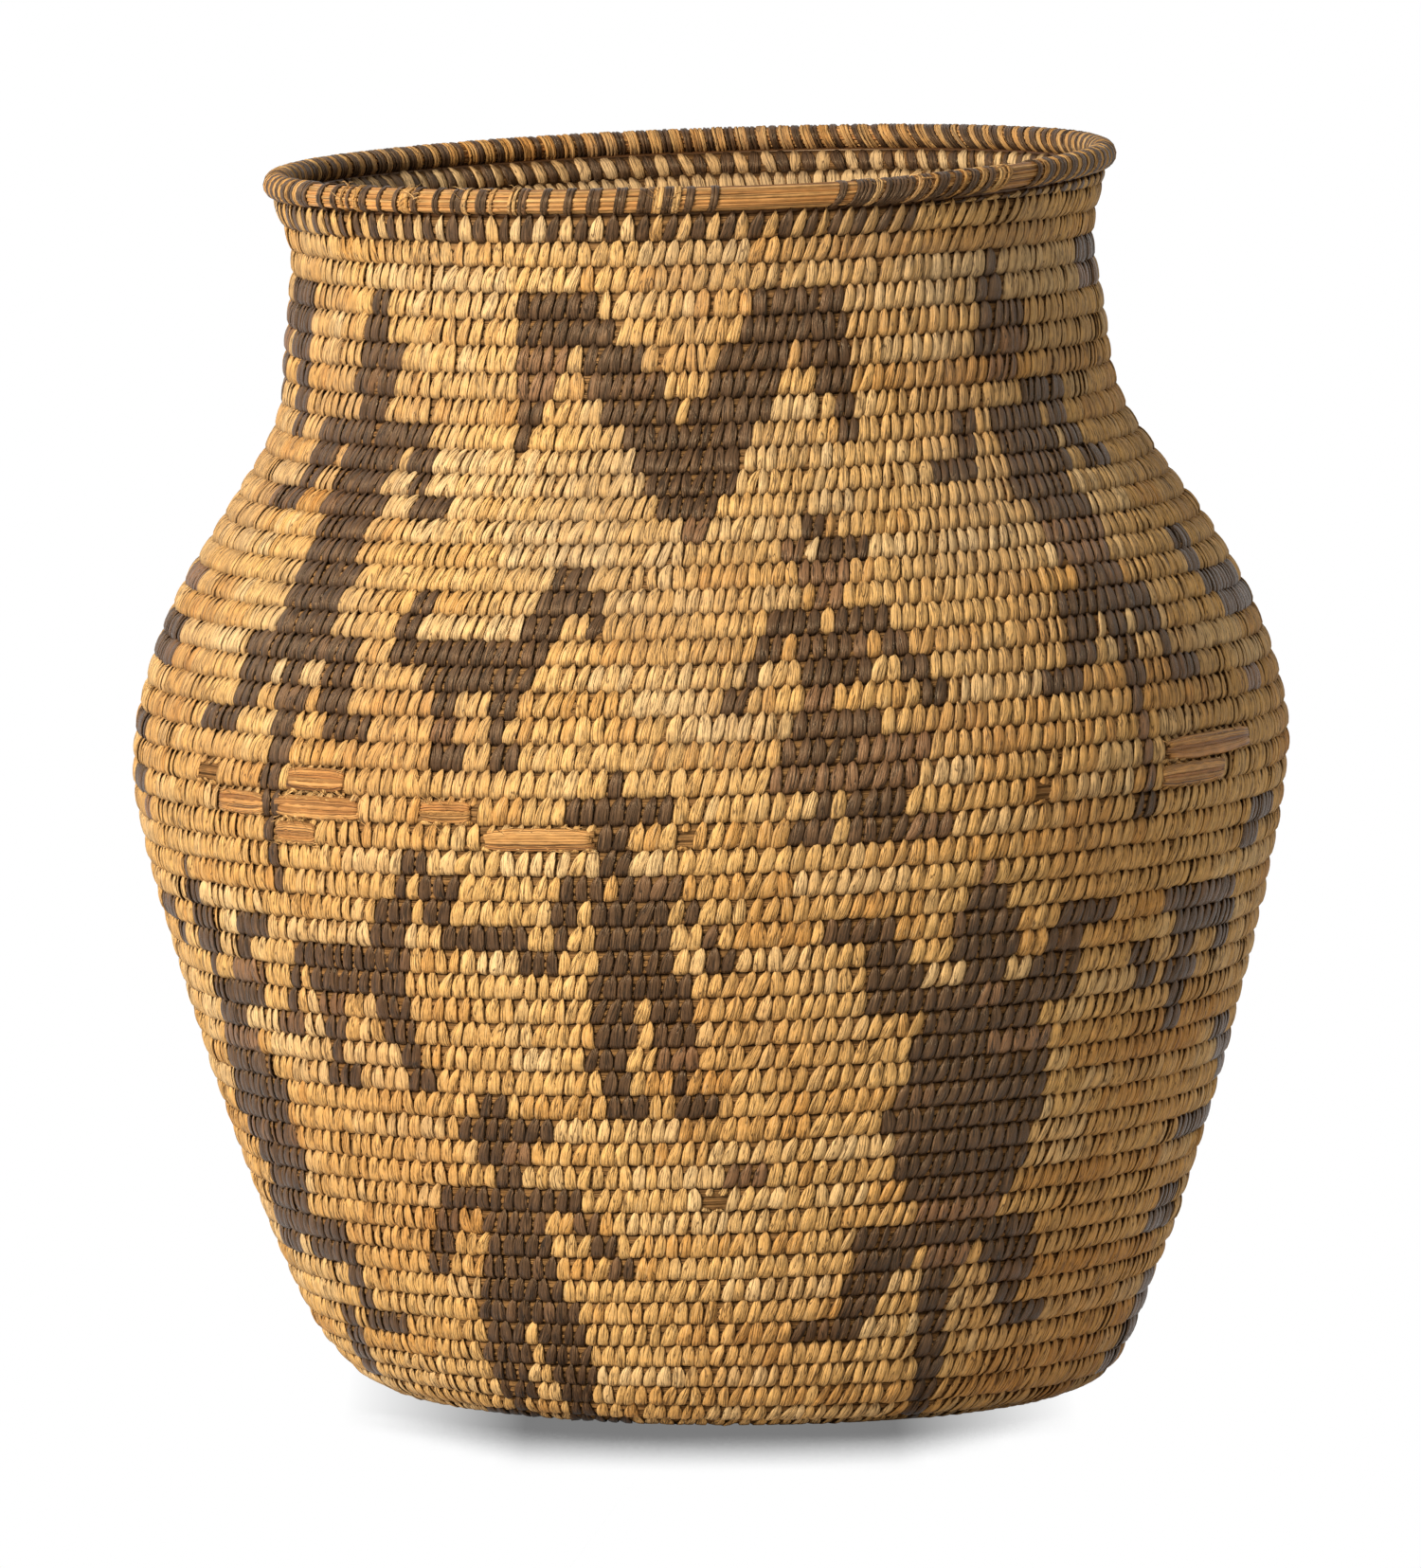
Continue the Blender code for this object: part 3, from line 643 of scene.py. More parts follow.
# Fibre coordinates are in millimetres, or close to that along strands, and their third part sets the
# grain of one splint or strand apart from the next
MILLIMETRES = 1000
SPLINT_GRAIN_SPREAD = 53
ROD_GRAIN_WIDTH = 6.2
ROD_GRAIN = 3.0
STRAND_GRAIN_LENGTH = 100
STRAND_GRAIN_SPREAD = 9
# The margins of a cell of the bake's map, and where the caps lie in its ends
SIDE_MARGIN = 0.06
END_MARGIN = 0.08
CAP_HEIGHT = 0.03
CAP_REACH = (0.2, 0.02)

# Colours that no setting holds: rods painted dark for the shade of the coil, bare rods from pale to deep, the
# pale fibres (on seed pod partly painted highlights) and the dirt and painted shade of each finish, stains,
# dust, and the tint of the gloss
SHADED_ROD_BROWN = (0.33, 0.16, 0.05)
BARE_TONES = ((0, (0.74, 0.42, 0.15)), (0.5, (0.60, 0.29, 0.085)), (1, (0.42, 0.17, 0.045)))
PALE_FIBRE = (0.9, 0.64, 0.32)
BARE_FIBRE = (0.9, 0.6, 0.26)
DARK_FIBRE_AND_HIGHLIGHT = (0.28, 0.15, 0.065)
LIGHT_DIRT_AND_SHADE = (0.06, 0.024, 0.008)
DARK_DIRT_AND_SHADE = (0.010, 0.005, 0.003)
ROD_DIRT_AND_SHADE = (0.03, 0.012, 0.004)
BARE_DIRT_AND_SHADE = (0.05, 0.018, 0.005)
STAIN = (0.76, 0.60, 0.46, 1)
DUST = (0.34, 0.24, 0.145, 1)
GLOSS_TINT = (1.0, 0.68, 0.38, 1)
# How strong blotches, stains and the dirt and painted shade are, what fibres and dust add to the roughness,
# and how deep the relief of the fibres is
BLOTCH_STRENGTH = 0.4
BLOTCHED_SHARE = 0.75
STAIN_STRENGTH = 0.5
DIRT_AND_SHADE_STRENGTH = 0.9
FIBRE_ROUGHNESS = 0.3
DUST_ROUGHNESS = 0.3
RELIEF_DEPTH = 0.0006

# The stage: the floor, the lamp's size and its place from the middle of the basket, and the shadow under
# the basket, which fades with the openness of the floor and with the way out to either side
FLOOR_RADIUS = 14
FLOOR_GREY = (0.7, 0.7, 0.7, 1)
KEY_SIZE = 0.8
KEY_PLACE = (-1.55, -1.62, 0.95)
SHADOW_REACH = 0.1
LEAST_FLOOR_LIGHT = 0.2
SIDE_FLOOR_LIGHT = 0.8
SIDE_FADE = (0.045, 0.09)
OPENNESS_FADE = (0.5, 0.8)


def vectors(*parts):
    """Vectors from parts that are brought to one shape."""
    return np.stack(np.broadcast_arrays(*parts), -1)


def evenly_round(count):
    """Directions that lie evenly round a circle."""
    return FULL_TURN * np.arange(count) / count


def stitch_turns(pitch, lean_share, rng):
    """The turn at which each stitch sits. Each one goes between two stitches of the turn below, with
    one more or one less where the coil grows or shrinks."""
    table = np.arange(0, TURNS + 1, PITCH_TABLE_STEP)
    steps = pitch * np.interp(table, PITCH_TURNS, PITCH_SHARES)
    steps = steps / FULL_TURN / np.maximum(radius_at(coil_arc(table)), pitch)
    placed = [KNOT_TURNS - FIRST_STITCH_TURNS]
    below = 0
    while placed[-1] < TURNS - LAST_STITCH_TURNS:
        last = placed[-1]
        step = float(np.interp(last, table, steps)) * rng.normal(1, STEP_SCATTER)
        slot = None
        while below + 1 < len(placed) and slot is None:
            middle = (placed[below] + placed[below + 1]) / 2 - lean_share * step
            if middle > last + LEAST_STEP_SHARE * step - 1:
                slot = middle + 1
            else:
                below += 1
        if slot is None or slot - last > WIDEST_STEP_SHARE * step:
            slot = last + step
        placed.append(NESTING_SHARE * slot + (1 - NESTING_SHARE) * (last + step))
    return np.array(placed[:-1])


def run_tones(count, rng):
    """A tone from 0 to 1 for each stitch. One splint sews a run of stitches, which share its tone."""
    tones = []
    while len(tones) < count:
        tones += [rng.random()] * int(rng.integers(*STITCHES_TO_A_SPLINT))
    return np.clip(np.array(tones[:count]) + rng.normal(0, TONE_SCATTER, count), 0, 1)


def sweep(angle, middle, up, out, half_width, shift, thickness, roll, closed):
    """Rings of points for flat splints that bend through stations up and out from the middle of a coil:
    (splint, station, point, 3), and their fibre coordinates. Each splint has its own direction, place
    along the wall, thickness and roll, which lifts one edge, and each station its half width and shift
    along the coil."""
    if closed:
        ahead_up = np.roll(up, -1, 1) - np.roll(up, 1, 1)
        ahead_out = np.roll(out, -1, 1) - np.roll(out, 1, 1)
    else:
        ahead_up, ahead_out = np.gradient(up, axis=1), np.gradient(out, axis=1)
    size = np.hypot(ahead_up, ahead_out)
    depth = (thickness[:, None] * (SECTION_DEPTH + roll[:, None] * SECTION_ACROSS))[:, None]
    arc = (middle[:, None] + up)[..., None] - (ahead_out / size)[..., None] * depth
    outward = out[..., None] + (ahead_up / size)[..., None] * depth
    across = half_width[..., None] * SECTION_ACROSS
    turned = angle[:, None, None] + (shift[..., None] + across) / radius_at(middle)[:, None, None]
    way = np.hypot(np.diff(up, axis=1, prepend=up[:, :1]), np.diff(out, axis=1, prepend=out[:, :1])).cumsum(1)
    grain = turned[:, :1, :1] * SPLINT_GRAIN_SPREAD
    return place(turned, arc, outward), vectors(across * MILLIMETRES, way[..., None] * MILLIMETRES, grain)


def strands(angles, arcs, outward, radius, flat, rng):
    """Rings of points for thin strands that run along a coil: (strand, ring, point, 3), and their fibre
    coordinates. angles, arcs and outward are arrays of (strand, ring)."""
    around = evenly_round(STRAND_SIDES)
    swell = radius * rng.normal(1, STRAND_SCATTER, angles.shape)
    turned = rng.uniform(0, FULL_TURN, len(angles))[:, None, None] + around
    rings = place(
        angles[..., None],
        arcs[..., None] + swell[..., None] * np.sin(turned),
        outward[..., None] + swell[..., None] * flat * np.cos(turned),
    )
    along = (angles - angles[:, :1])[..., None] * STRAND_GRAIN_LENGTH
    grain = turned[:, :, :1] * STRAND_GRAIN_SPREAD
    return rings, vectors(around * np.max(radius) * MILLIMETRES, along, grain)


def clean_tones(count, lowest, span, rng):
    """The sewn vectors of strands with no dirt or painted shade, each with a tone of its own."""
    return vectors(lowest + span * rng.random(count)[:, None, None], 0.0, 0.0)


def loft_piece(name, rings, closed, fibre, sewn, per_strip=None):
    """A mesh object of closed bodies, each skinned over its rings of points, an array of (bodies, rings,
    points, 3). Bodies close on themselves or end in caps. fibre and sewn are the vectors that the
    materials read, and are spread over the rings. Each body, or strip of per_strip rings, gets a cell
    of the bake's map."""
    bodies, count, points = rings.shape[:3]
    spans = count if closed else count - 1
    per_strip = per_strip or spans
    ring, point = np.meshgrid(np.arange(spans), np.arange(points), indexing="ij")
    after, beside = (ring + 1) % count, (point + 1) % points
    around = ((ring, point), (ring, beside), (after, beside), (after, point))
    one = np.stack([row * points + column for row, column in around], -1).reshape(-1, 4)
    first = (np.arange(bodies) * count * points)[:, None, None]
    flat = rings.reshape(-1, 3)
    corner = flat[one] - flat[0]
    volume = np.einsum("ij,ij->", corner[:, 0], np.cross(corner[:, 1], corner[:, 2]))
    volume += np.einsum("ij,ij->", corner[:, 0], np.cross(corner[:, 2], corner[:, 3]))

    strips = -(-spans // per_strip)
    cells = bodies * strips
    length = np.linalg.norm(np.diff(rings[0, : per_strip + 1].mean(1), axis=0), axis=1).sum()
    girth = np.linalg.norm(rings[0, count // 2] - np.roll(rings[0, count // 2], 1, 0), axis=1).sum()
    columns = max(1, min(cells, math.ceil(math.sqrt(cells * length / girth))))
    rows = -(-cells // columns)

    def spots(cell, across, along):
        """Places on the bake's map, from shares of a cell's width and height."""
        return np.stack([(cell % columns + across) / columns, (cell // columns + along) / rows], -1)

    across = np.stack([point, point + 1, point + 1, point], -1).reshape(-1, 4) / points
    along = np.stack([ring % per_strip] * 2 + [ring % per_strip + 1] * 2, -1).reshape(-1, 4) / per_strip
    across = SIDE_MARGIN + (1 - 2 * SIDE_MARGIN) * np.tile(across, (bodies, 1))
    along = END_MARGIN + (1 - 2 * END_MARGIN) * np.tile(along, (bodies, 1))
    cell = (np.arange(bodies)[:, None] * strips + (ring // per_strip).ravel()).reshape(-1, 1)
    loops, maps = [(one + first).reshape(-1, 4)], [spots(cell, across, along)]
    if not closed:
        circle = evenly_round(points)
        cell = np.arange(bodies)[:, None] * strips
        for end, height in ((0, CAP_HEIGHT), (count - 1, 1 - CAP_HEIGHT)):
            cap = end * points + np.arange(points)[None] + first[:, :, 0]
            across = 0.5 + CAP_REACH[0] * np.cos(circle)
            along = height + CAP_REACH[1] * np.sin(circle)
            order = slice(None, None, 1 if end else -1)
            loops.append(cap[:, order])
            maps.append(spots(cell, across, along)[:, order])
    if volume < 0:
        loops, maps = [part[:, ::-1] for part in loops], [part[:, ::-1] for part in maps]

    mesh = bpy.data.meshes.new(name)
    sizes = np.concatenate([np.full(len(part), part.shape[1]) for part in loops])
    mesh.vertices.add(len(flat))
    mesh.loops.add(int(sizes.sum()))
    mesh.polygons.add(len(sizes))
    mesh.vertices.foreach_set("co", flat.astype(np.float32).ravel())
    mesh.loops.foreach_set("vertex_index", np.concatenate([part.ravel() for part in loops]).astype(np.int32))
    mesh.polygons.foreach_set("loop_start", (sizes.cumsum() - sizes).astype(np.int32))
    mesh.update(calc_edges=True)
    mesh.shade_smooth()
    layer = mesh.uv_layers.new(name="OFBake")
    layer.uv.foreach_set("vector", np.concatenate([part.ravel() for part in maps]).astype(np.float32))
    for label, values in (("fibre", fibre), ("sewn", sewn)):
        attribute = mesh.attributes.new(label, "FLOAT_VECTOR", "POINT")
        attribute.data.foreach_set("vector", np.broadcast_to(values, rings.shape).astype(np.float32).ravel())
    obj = bpy.data.objects.new(name, mesh)
    bpy.context.scene.collection.objects.link(obj)
    return obj


def settle(obj, material, slot, *nodes):
    """Gives a piece its material and its place on the body, and hides the nodes that it stands for."""
    obj.data.materials.append(material)
    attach(obj, "root")
    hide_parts(*nodes)


def lengths_between(first, last):
    """The lengths of the coil that lie between two turns."""
    return [name for name, start, end in COIL_LENGTHS if start < last and end > first]


def worn_nodes(name):
    """The rods that lie bare in a worn run."""
    return [f"{name}_rod_{number + 1}" for number in range(WORN_RODS_ACROSS)]


def node_group(name, inputs, outputs):
    """A group with these sockets, given as (name, default) and names, with its input and output nodes."""
    group = bpy.data.node_groups.new(name, "ShaderNodeTree")
    for label, default in inputs:
        socket = group.interface.new_socket(label, in_out="INPUT", socket_type="NodeSocketFloat")
        socket.default_value = default
    for label in outputs:
        group.interface.new_socket(label, in_out="OUTPUT", socket_type="NodeSocketFloat")
    return group, group.nodes.new("NodeGroupInput").outputs, group.nodes.new("NodeGroupOutput").inputs


def feed(tree, socket, value):
    """Links a value into a socket, or sets it there."""
    if isinstance(value, bpy.types.NodeSocket):
        tree.links.new(value, socket)
    else:
        socket.default_value = value


def add(tree, kind, links=(), **settings):
    """A node of the tree, with these settings and with (input, what goes into it) links."""
    node = tree.nodes.new(kind)
    for key, value in settings.items():
        setattr(node, key, value)
    for socket, value in links:
        feed(tree, node.inputs[socket], value)
    return node


def calc(tree, operation, *values):
    """The output of a Math node."""
    return add(tree, "ShaderNodeMath", list(enumerate(values)), operation=operation).outputs[0]


def mix(tree, factor, first, second, blend="MIX"):
    """The output of a colour Mix node."""
    links = ((0, factor), (6, first), (7, second))
    return add(tree, "ShaderNodeMix", links, data_type="RGBA", blend_type=blend).outputs[2]


def ranged(tree, value, low, high, first=0.0, last=1.0):
    """A value from low to high, brought to the range from first to last and kept in it."""
    return add(tree, "ShaderNodeMapRange", list(enumerate((value, low, high, first, last)))).outputs[0]


def noise(tree, vector, scale, detail, roughness=0.5):
    """The output of a Noise Texture node."""
    links = (("Vector", vector), ("Scale", scale), ("Detail", detail), ("Roughness", roughness))
    return add(tree, "ShaderNodeTexNoise", links).outputs[0]


def vector_attribute(tree, name):
    """A vector that a piece's mesh carries, and its parts."""
    vector = add(tree, "ShaderNodeAttribute", attribute_name=name).outputs["Vector"]
    return vector, add(tree, "ShaderNodeSeparateXYZ", [(0, vector)]).outputs


def fibre_group():
    """Lengthwise fibres of split wood: masks of dark and of pale lines, a height and blotches. Creases
    run along the splint as thin dark lines of painted shade, and as dips in the height."""
    inputs = (("Across", 2.4), ("Along", 0.25))
    group, taken, given = node_group("Fibres", inputs, ("Dark Lines", "Pale Lines", "Height", "Blotches"))
    vector, parts = vector_attribute(group, "fibre")
    across = calc(group, "MULTIPLY", parts[0], taken["Across"])
    along = calc(group, "MULTIPLY", parts[1], taken["Along"])
    stretched = add(group, "ShaderNodeCombineXYZ", list(enumerate((across, along, parts[2])))).outputs[0]
    fine = noise(group, stretched, scale=1.0, detail=3.0, roughness=0.65)
    folds = noise(group, stretched, scale=0.45, detail=1.0)
    off_fold = calc(group, "ABSOLUTE", calc(group, "SUBTRACT", folds, 0.5))
    # The creases darken the colour as painted shade in the folds
    crease = ranged(group, off_fold, low=0.026, high=0.006)
    dark_lines = calc(group, "MAXIMUM", ranged(group, fine, low=0.45, high=0.36), crease)
    broad = noise(group, vector, scale=0.35, detail=2.0)
    group.links.new(dark_lines, given["Dark Lines"])
    group.links.new(ranged(group, fine, low=0.54, high=0.66), given["Pale Lines"])
    group.links.new(calc(group, "MULTIPLY_ADD", crease, -0.25, fine), given["Height"])
    group.links.new(ranged(group, broad, low=0.3, high=0.7), given["Blotches"])
    return group


def dust_group():
    """Where grey dust has dulled the basket, in patches that grow towards the top, and where handling
    has stained it."""
    group, taken, given = node_group("Dust", (("Patch Size", 30.0), ("Amount", 0.5)), ("Dust", "Stain"))
    spot = add(group, "ShaderNodeTexCoord").outputs["Object"]
    height = add(group, "ShaderNodeSeparateXYZ", [(0, spot)]).outputs[2]
    patch = ranged(group, noise(group, spot, taken["Patch Size"], detail=3.0), low=0.38, high=0.68)
    dusty = ranged(group, height, low=0.13, high=0.22, first=0.1)
    dust = calc(group, "MULTIPLY", calc(group, "MULTIPLY", patch, dusty), taken["Amount"])
    group.links.new(dust, given["Dust"])
    stains = noise(group, spot, scale=16.0, detail=5.0)
    group.links.new(ranged(group, stains, low=0.48, high=0.68), given["Stain"])
    return group


def grouped(tree, make, name, **values):
    """The outputs of a node group that several materials share, with these input values."""
    node = add(tree, "ShaderNodeGroup", node_tree=bpy.data.node_groups.get(name) or make())
    for label, value in values.items():
        node.inputs[label].default_value = value
    return node.outputs


def splint_material(
    name, tones, fibre_colour, dirt_and_shade_colour, roughness, gloss, grain, dark_lines, pale_lines, dust, relief=1.0
):
    """A splint's material, made once: its tone from the stitch, fibres along it, dirt and painted shade in
    its edges and ends, and dust on it. tones are (place, colour) pairs, grain tells how fine the fibres are
    across and along, and dark_lines and pale_lines how strong they are."""
    if name in bpy.data.materials:
        return bpy.data.materials[name]
    material = bpy.data.materials.new(name)
    material.use_nodes = True
    tree = material.node_tree
    surface = tree.nodes["Principled BSDF"].inputs
    tone, dirt_and_shade_share, across = vector_attribute(tree, "sewn")[1]
    ramp = add(tree, "ShaderNodeValToRGB", [(0, tone)])
    while len(ramp.color_ramp.elements) < len(tones):
        ramp.color_ramp.elements.new(0.5)
    for element, (at, colour) in zip(ramp.color_ramp.elements, tones):
        element.position = at
        element.color = (*colour, 1)
    fibre = grouped(tree, fibre_group, "Fibres", Across=grain[0], Along=grain[1])
    blotches = calc(tree, "MULTIPLY_ADD", fibre["Blotches"], BLOTCH_STRENGTH, BLOTCHED_SHARE)
    blotched = mix(tree, 1.0, ramp.outputs[0], blotches, "MULTIPLY")
    pale = mix(tree, calc(tree, "MULTIPLY", fibre["Pale Lines"], pale_lines), blotched, (*fibre_colour, 1))
    lined = mix(tree, calc(tree, "MULTIPLY", fibre["Dark Lines"], dark_lines), pale, (*dirt_and_shade_colour, 1))
    handled = grouped(tree, dust_group, "Dust", Amount=dust)
    stained = mix(tree, calc(tree, "MULTIPLY", handled["Stain"], STAIN_STRENGTH), lined, STAIN, "MULTIPLY")
    dusted = mix(tree, handled["Dust"], stained, DUST)
    # The edges of each splint, and the places its share marks, are darkened with dirt and painted shade
    edge = ranged(tree, calc(tree, "ABSOLUTE", across), low=0.82, high=0.97)
    dirt_and_shade = calc(tree, "MULTIPLY", calc(tree, "MAXIMUM", dirt_and_shade_share, edge), DIRT_AND_SHADE_STRENGTH)
    tree.links.new(mix(tree, dirt_and_shade, dusted, (*dirt_and_shade_colour, 1)), surface["Base Color"])
    rough = calc(tree, "MULTIPLY_ADD", fibre["Height"], FIBRE_ROUGHNESS, roughness - FIBRE_ROUGHNESS / 2)
    dulled = calc(tree, "ADD", rough, calc(tree, "MULTIPLY", handled["Dust"], DUST_ROUGHNESS))
    tree.links.new(dulled, surface["Roughness"])
    links = (("Strength", relief), ("Distance", RELIEF_DEPTH), ("Height", fibre["Height"]))
    tree.links.new(add(tree, "ShaderNodeBump", links).outputs[0], surface["Normal"])
    surface["Specular IOR Level"].default_value = gloss
    surface["Specular Tint"].default_value = GLOSS_TINT
    return material


def light_material(splints):
    """Split willow, pale to tan."""
    tones = ((0, splints.pale), (0.4, splints.straw), (0.7, splints.straw), (1, splints.tan))
    return splint_material(
        "Willow Splint", tones, PALE_FIBRE, LIGHT_DIRT_AND_SHADE, roughness=0.62, gloss=0.2, grain=(2.4, 0.18),
        dark_lines=0.8, pale_lines=0.3, dust=0.38,
    )


def dark_material(splints):
    """Split seed pod, black to brown. Its pale fibre lines are partly painted highlights."""
    tones = ((0, splints.black), (0.6, splints.black), (0.85, splints.brown), (1, splints.brown))
    return splint_material(
        "Seed Pod Splint", tones, DARK_FIBRE_AND_HIGHLIGHT, DARK_DIRT_AND_SHADE, roughness=0.38, gloss=0.45, grain=(2.2, 0.16),
        dark_lines=0.9, pale_lines=0.5, dust=0.05,
    )


def rod_material():
    """The rods inside the coil, in shade and dirt."""
    return splint_material(
        "Coil Rods", ((0, SHADED_ROD_BROWN), (1, SHADED_ROD_BROWN)), PALE_FIBRE, ROD_DIRT_AND_SHADE, roughness=0.7, gloss=0.1,
        grain=(4.0, 0.05), dark_lines=0.8, pale_lines=0.1, dust=0.1,
    )


def bare_material():
    """Peeled rods that lie bare, split along their grain."""
    return splint_material(
        "Bare Rods", BARE_TONES, BARE_FIBRE, BARE_DIRT_AND_SHADE, roughness=0.42, gloss=0.3, grain=(2.8, 0.02),
        dark_lines=0.92, pale_lines=0.3, dust=0.05, relief=0.7,
    )


def splint_colour(name, description, default):
    """A colour in the settings."""
    return FloatVectorProperty(name=name, description=description, default=default, subtype="COLOR")


class SplintSettings(bpy.types.PropertyGroup):
    """Sizes and colours of the sewing splints."""

    pitch: FloatProperty(
        name="Stitch Pitch",
        description="From one stitch to the next",
        default=0.0034,
        min=0.001,
        unit="LENGTH",
    )
    fill_share: FloatProperty(
        name="Fill",
        description="Width of a splint beside the pitch",
        default=1.06,
        min=0.2,
        max=1.2,
        subtype="FACTOR",
    )
    thickness: FloatProperty(
        name="Thickness", description="Thickness of a splint", default=0.0005, min=0.0001, unit="LENGTH"
    )
    lean_share: FloatProperty(
        name="Lean",
        description="How far a stitch leans over its height, in pitches",
        default=0.42,
        subtype="FACTOR",
    )
    seed: IntProperty(name="Seed", description="Start of the random draws", default=7)
    pale: splint_colour("Pale Splint", "Palest willow", (0.77, 0.485, 0.205))
    straw: splint_colour("Straw Splint", "Common willow", (0.71, 0.39, 0.12))
    tan: splint_colour("Tan Splint", "Reddest willow", (0.61, 0.295, 0.075))
    black: splint_colour("Black Splint", "Darkest seed pod", (0.078, 0.038, 0.017))
    brown: splint_colour("Brown Splint", "Palest seed pod", (0.24, 0.115, 0.048))


class StageSettings(bpy.types.PropertyGroup):
    """The camera and the light."""

    distance: FloatProperty(
        name="Camera Distance", description="From the basket's axis", default=CAMERA_DISTANCE, unit="LENGTH"
    )
    elevation: FloatProperty(
        name="Camera Elevation", description="Above the horizon", default=CAMERA_ELEVATION, subtype="ANGLE"
    )
    key_power: FloatProperty(
        name="Key Power", description="Power of the soft key lamp", default=86.0, unit="POWER"
    )
    fill_strength: FloatProperty(
        name="Fill Strength", description="Brightness of the light all round", default=0.42
    )


class BASKET_OT_coil_rods(bpy.types.Operator):
    """Lay the rods that the splints are sewn round, in one coil from the knot to the rim"""

    bl_idname = "basket.coil_rods"
    bl_label = "Coil Rods"

    def execute(self, context):
        along, outward, dirt_and_shade = np.array(ROD_SECTION).T
        for name, first, last in ROD_LENGTHS:
            turns = [first]
            while turns[-1] < last:
                radius = max(float(radius_at(coil_arc(turns[-1]))), ROD_STEP)
                turns.append(turns[-1] + min(ROD_STEP / radius, ROD_BEND) / FULL_TURN)
            turn = np.append(turns[:-1], last)
            middle, height, rise = (value[:, None] for value in coil_at(turn))
            rings = place(direction(turn)[:, None], middle + along * height, outward * rise)
            way = np.cumsum(np.diff(turn, prepend=first) * FULL_TURN * radius_at(middle[:, 0]))
            fibre = vectors(along * ROD_GRAIN_WIDTH, way[:, None] * MILLIMETRES, ROD_GRAIN)
            sewn = vectors(0.5, dirt_and_shade, 0.0)
            piece = loft_piece(name, rings[None], False, fibre, sewn, RINGS_TO_A_STRIP)
            settle(piece, rod_material(), "bare_rod", *lengths_between(first, last))
        return {"FINISHED"}


class BASKET_OT_sewn_splints(bpy.types.Operator):
    """Sew the light and dark splints round every turn of the coil, and tear those that are worn"""

    bl_idname = "basket.sewn_splints"
    bl_label = "Sewn Splints"

    def execute(self, context):
        splints = context.scene.basket_splints
        rng = np.random.default_rng(splints.seed)
        turn = stitch_turns(splints.pitch, splints.lean_share, rng)
        count = len(turn)
        gap = np.diff(turn, prepend=2 * turn[0] - turn[1], append=2 * turn[-1] - turn[-2])
        half_width = (gap[:-1] + gap[1:]) / 4 * FULL_TURN * radius_at(coil_arc(turn)) * splints.fill_share
        shade = sewn_dark(turn)
        worn = worn_through(turn)
        chance = {label: rng.normal(*spread, count) for label, spread in STITCH_SCATTER.items()}
        stitches = {
            **chance,
            "turn": turn,
            "half_width": half_width * chance["half_width"] * np.where(shade > 0, DARK_WIDTH_SHARE, 1),
            "lean": splints.pitch * (splints.lean_share + chance["lean"]),
            "bow": splints.pitch * chance["bow"],
            "thickness": splints.thickness * chance["thickness"],
            "press": rng.uniform(*PRESSED_SHARES, count),
            "tone": run_tones(count, rng),
        }
        light, dark = light_material(splints), dark_material(splints)
        for name, first, last in COIL_LENGTHS:
            chosen = (shade == 0) & ~worn & (turn >= first) & (turn < last)
            sewn = self.sew(stitches, chosen, STITCH_STATIONS, True)
            settle(loft_piece(f"{name}_light_splints", *sewn), light, "light_splint", name)
        stubs = [self.sew(stitches, worn, way, False) for way in (LOWER_STUB_STATIONS, UPPER_STUB_STATIONS)]
        rings, _, fibre, own = zip(*stubs)
        joined = (np.concatenate(rings), False, np.concatenate(fibre), np.concatenate(own))
        torn = [name for name, first, last in COIL_LENGTHS if np.any(worn & (turn >= first) & (turn < last))]
        settle(loft_piece("torn_ends", *joined), light, "light_splint", *torn)
        black = BLACK_TONE_SHARE * stitches["tone"]
        stitches["tone"] = np.where(shade == 1, black, FADED_TONES[0] + FADED_TONES[1] * stitches["tone"])
        for name, first, last in DARK_LENGTHS:
            chosen = (shade > 0) & ~worn & (turn >= first) & (turn < last)
            sewn = self.sew(stitches, chosen, STITCH_STATIONS, True)
            settle(loft_piece(name, *sewn), dark, "dark_splint", *lengths_between(first, last))
        return {"FINISHED"}

    def sew(self, stitches, chosen, stations, closed):
        """The rings, whether they close, and the vectors of the chosen stitches."""
        own = {label: values[chosen] for label, values in stitches.items()}
        along, outward, width, dirt_and_shade = np.array(stations).T
        middle, height, rise = coil_at(own["turn"])
        up = along * (height * own["reach"])[:, None]
        out = outward * (rise * own["press"])[:, None]
        half_width = own["half_width"][:, None] * width
        shift = own["lean"][:, None] * along + own["bow"][:, None] * (along**2 - BOW_MIDDLE_SHARE)
        angle = direction(own["turn"])
        rings, fibre = sweep(angle, middle, up, out, half_width, shift, own["thickness"], own["roll"], closed)
        tone = own["tone"][:, None, None] - INSIDE_PALENESS * (outward[:, None] < 0)
        sewn = vectors(tone, np.clip(dirt_and_shade[:, None] + SECTION_DIRT_AND_SHADE, 0, 1), SECTION_ACROSS)
        return rings, closed, fibre, sewn


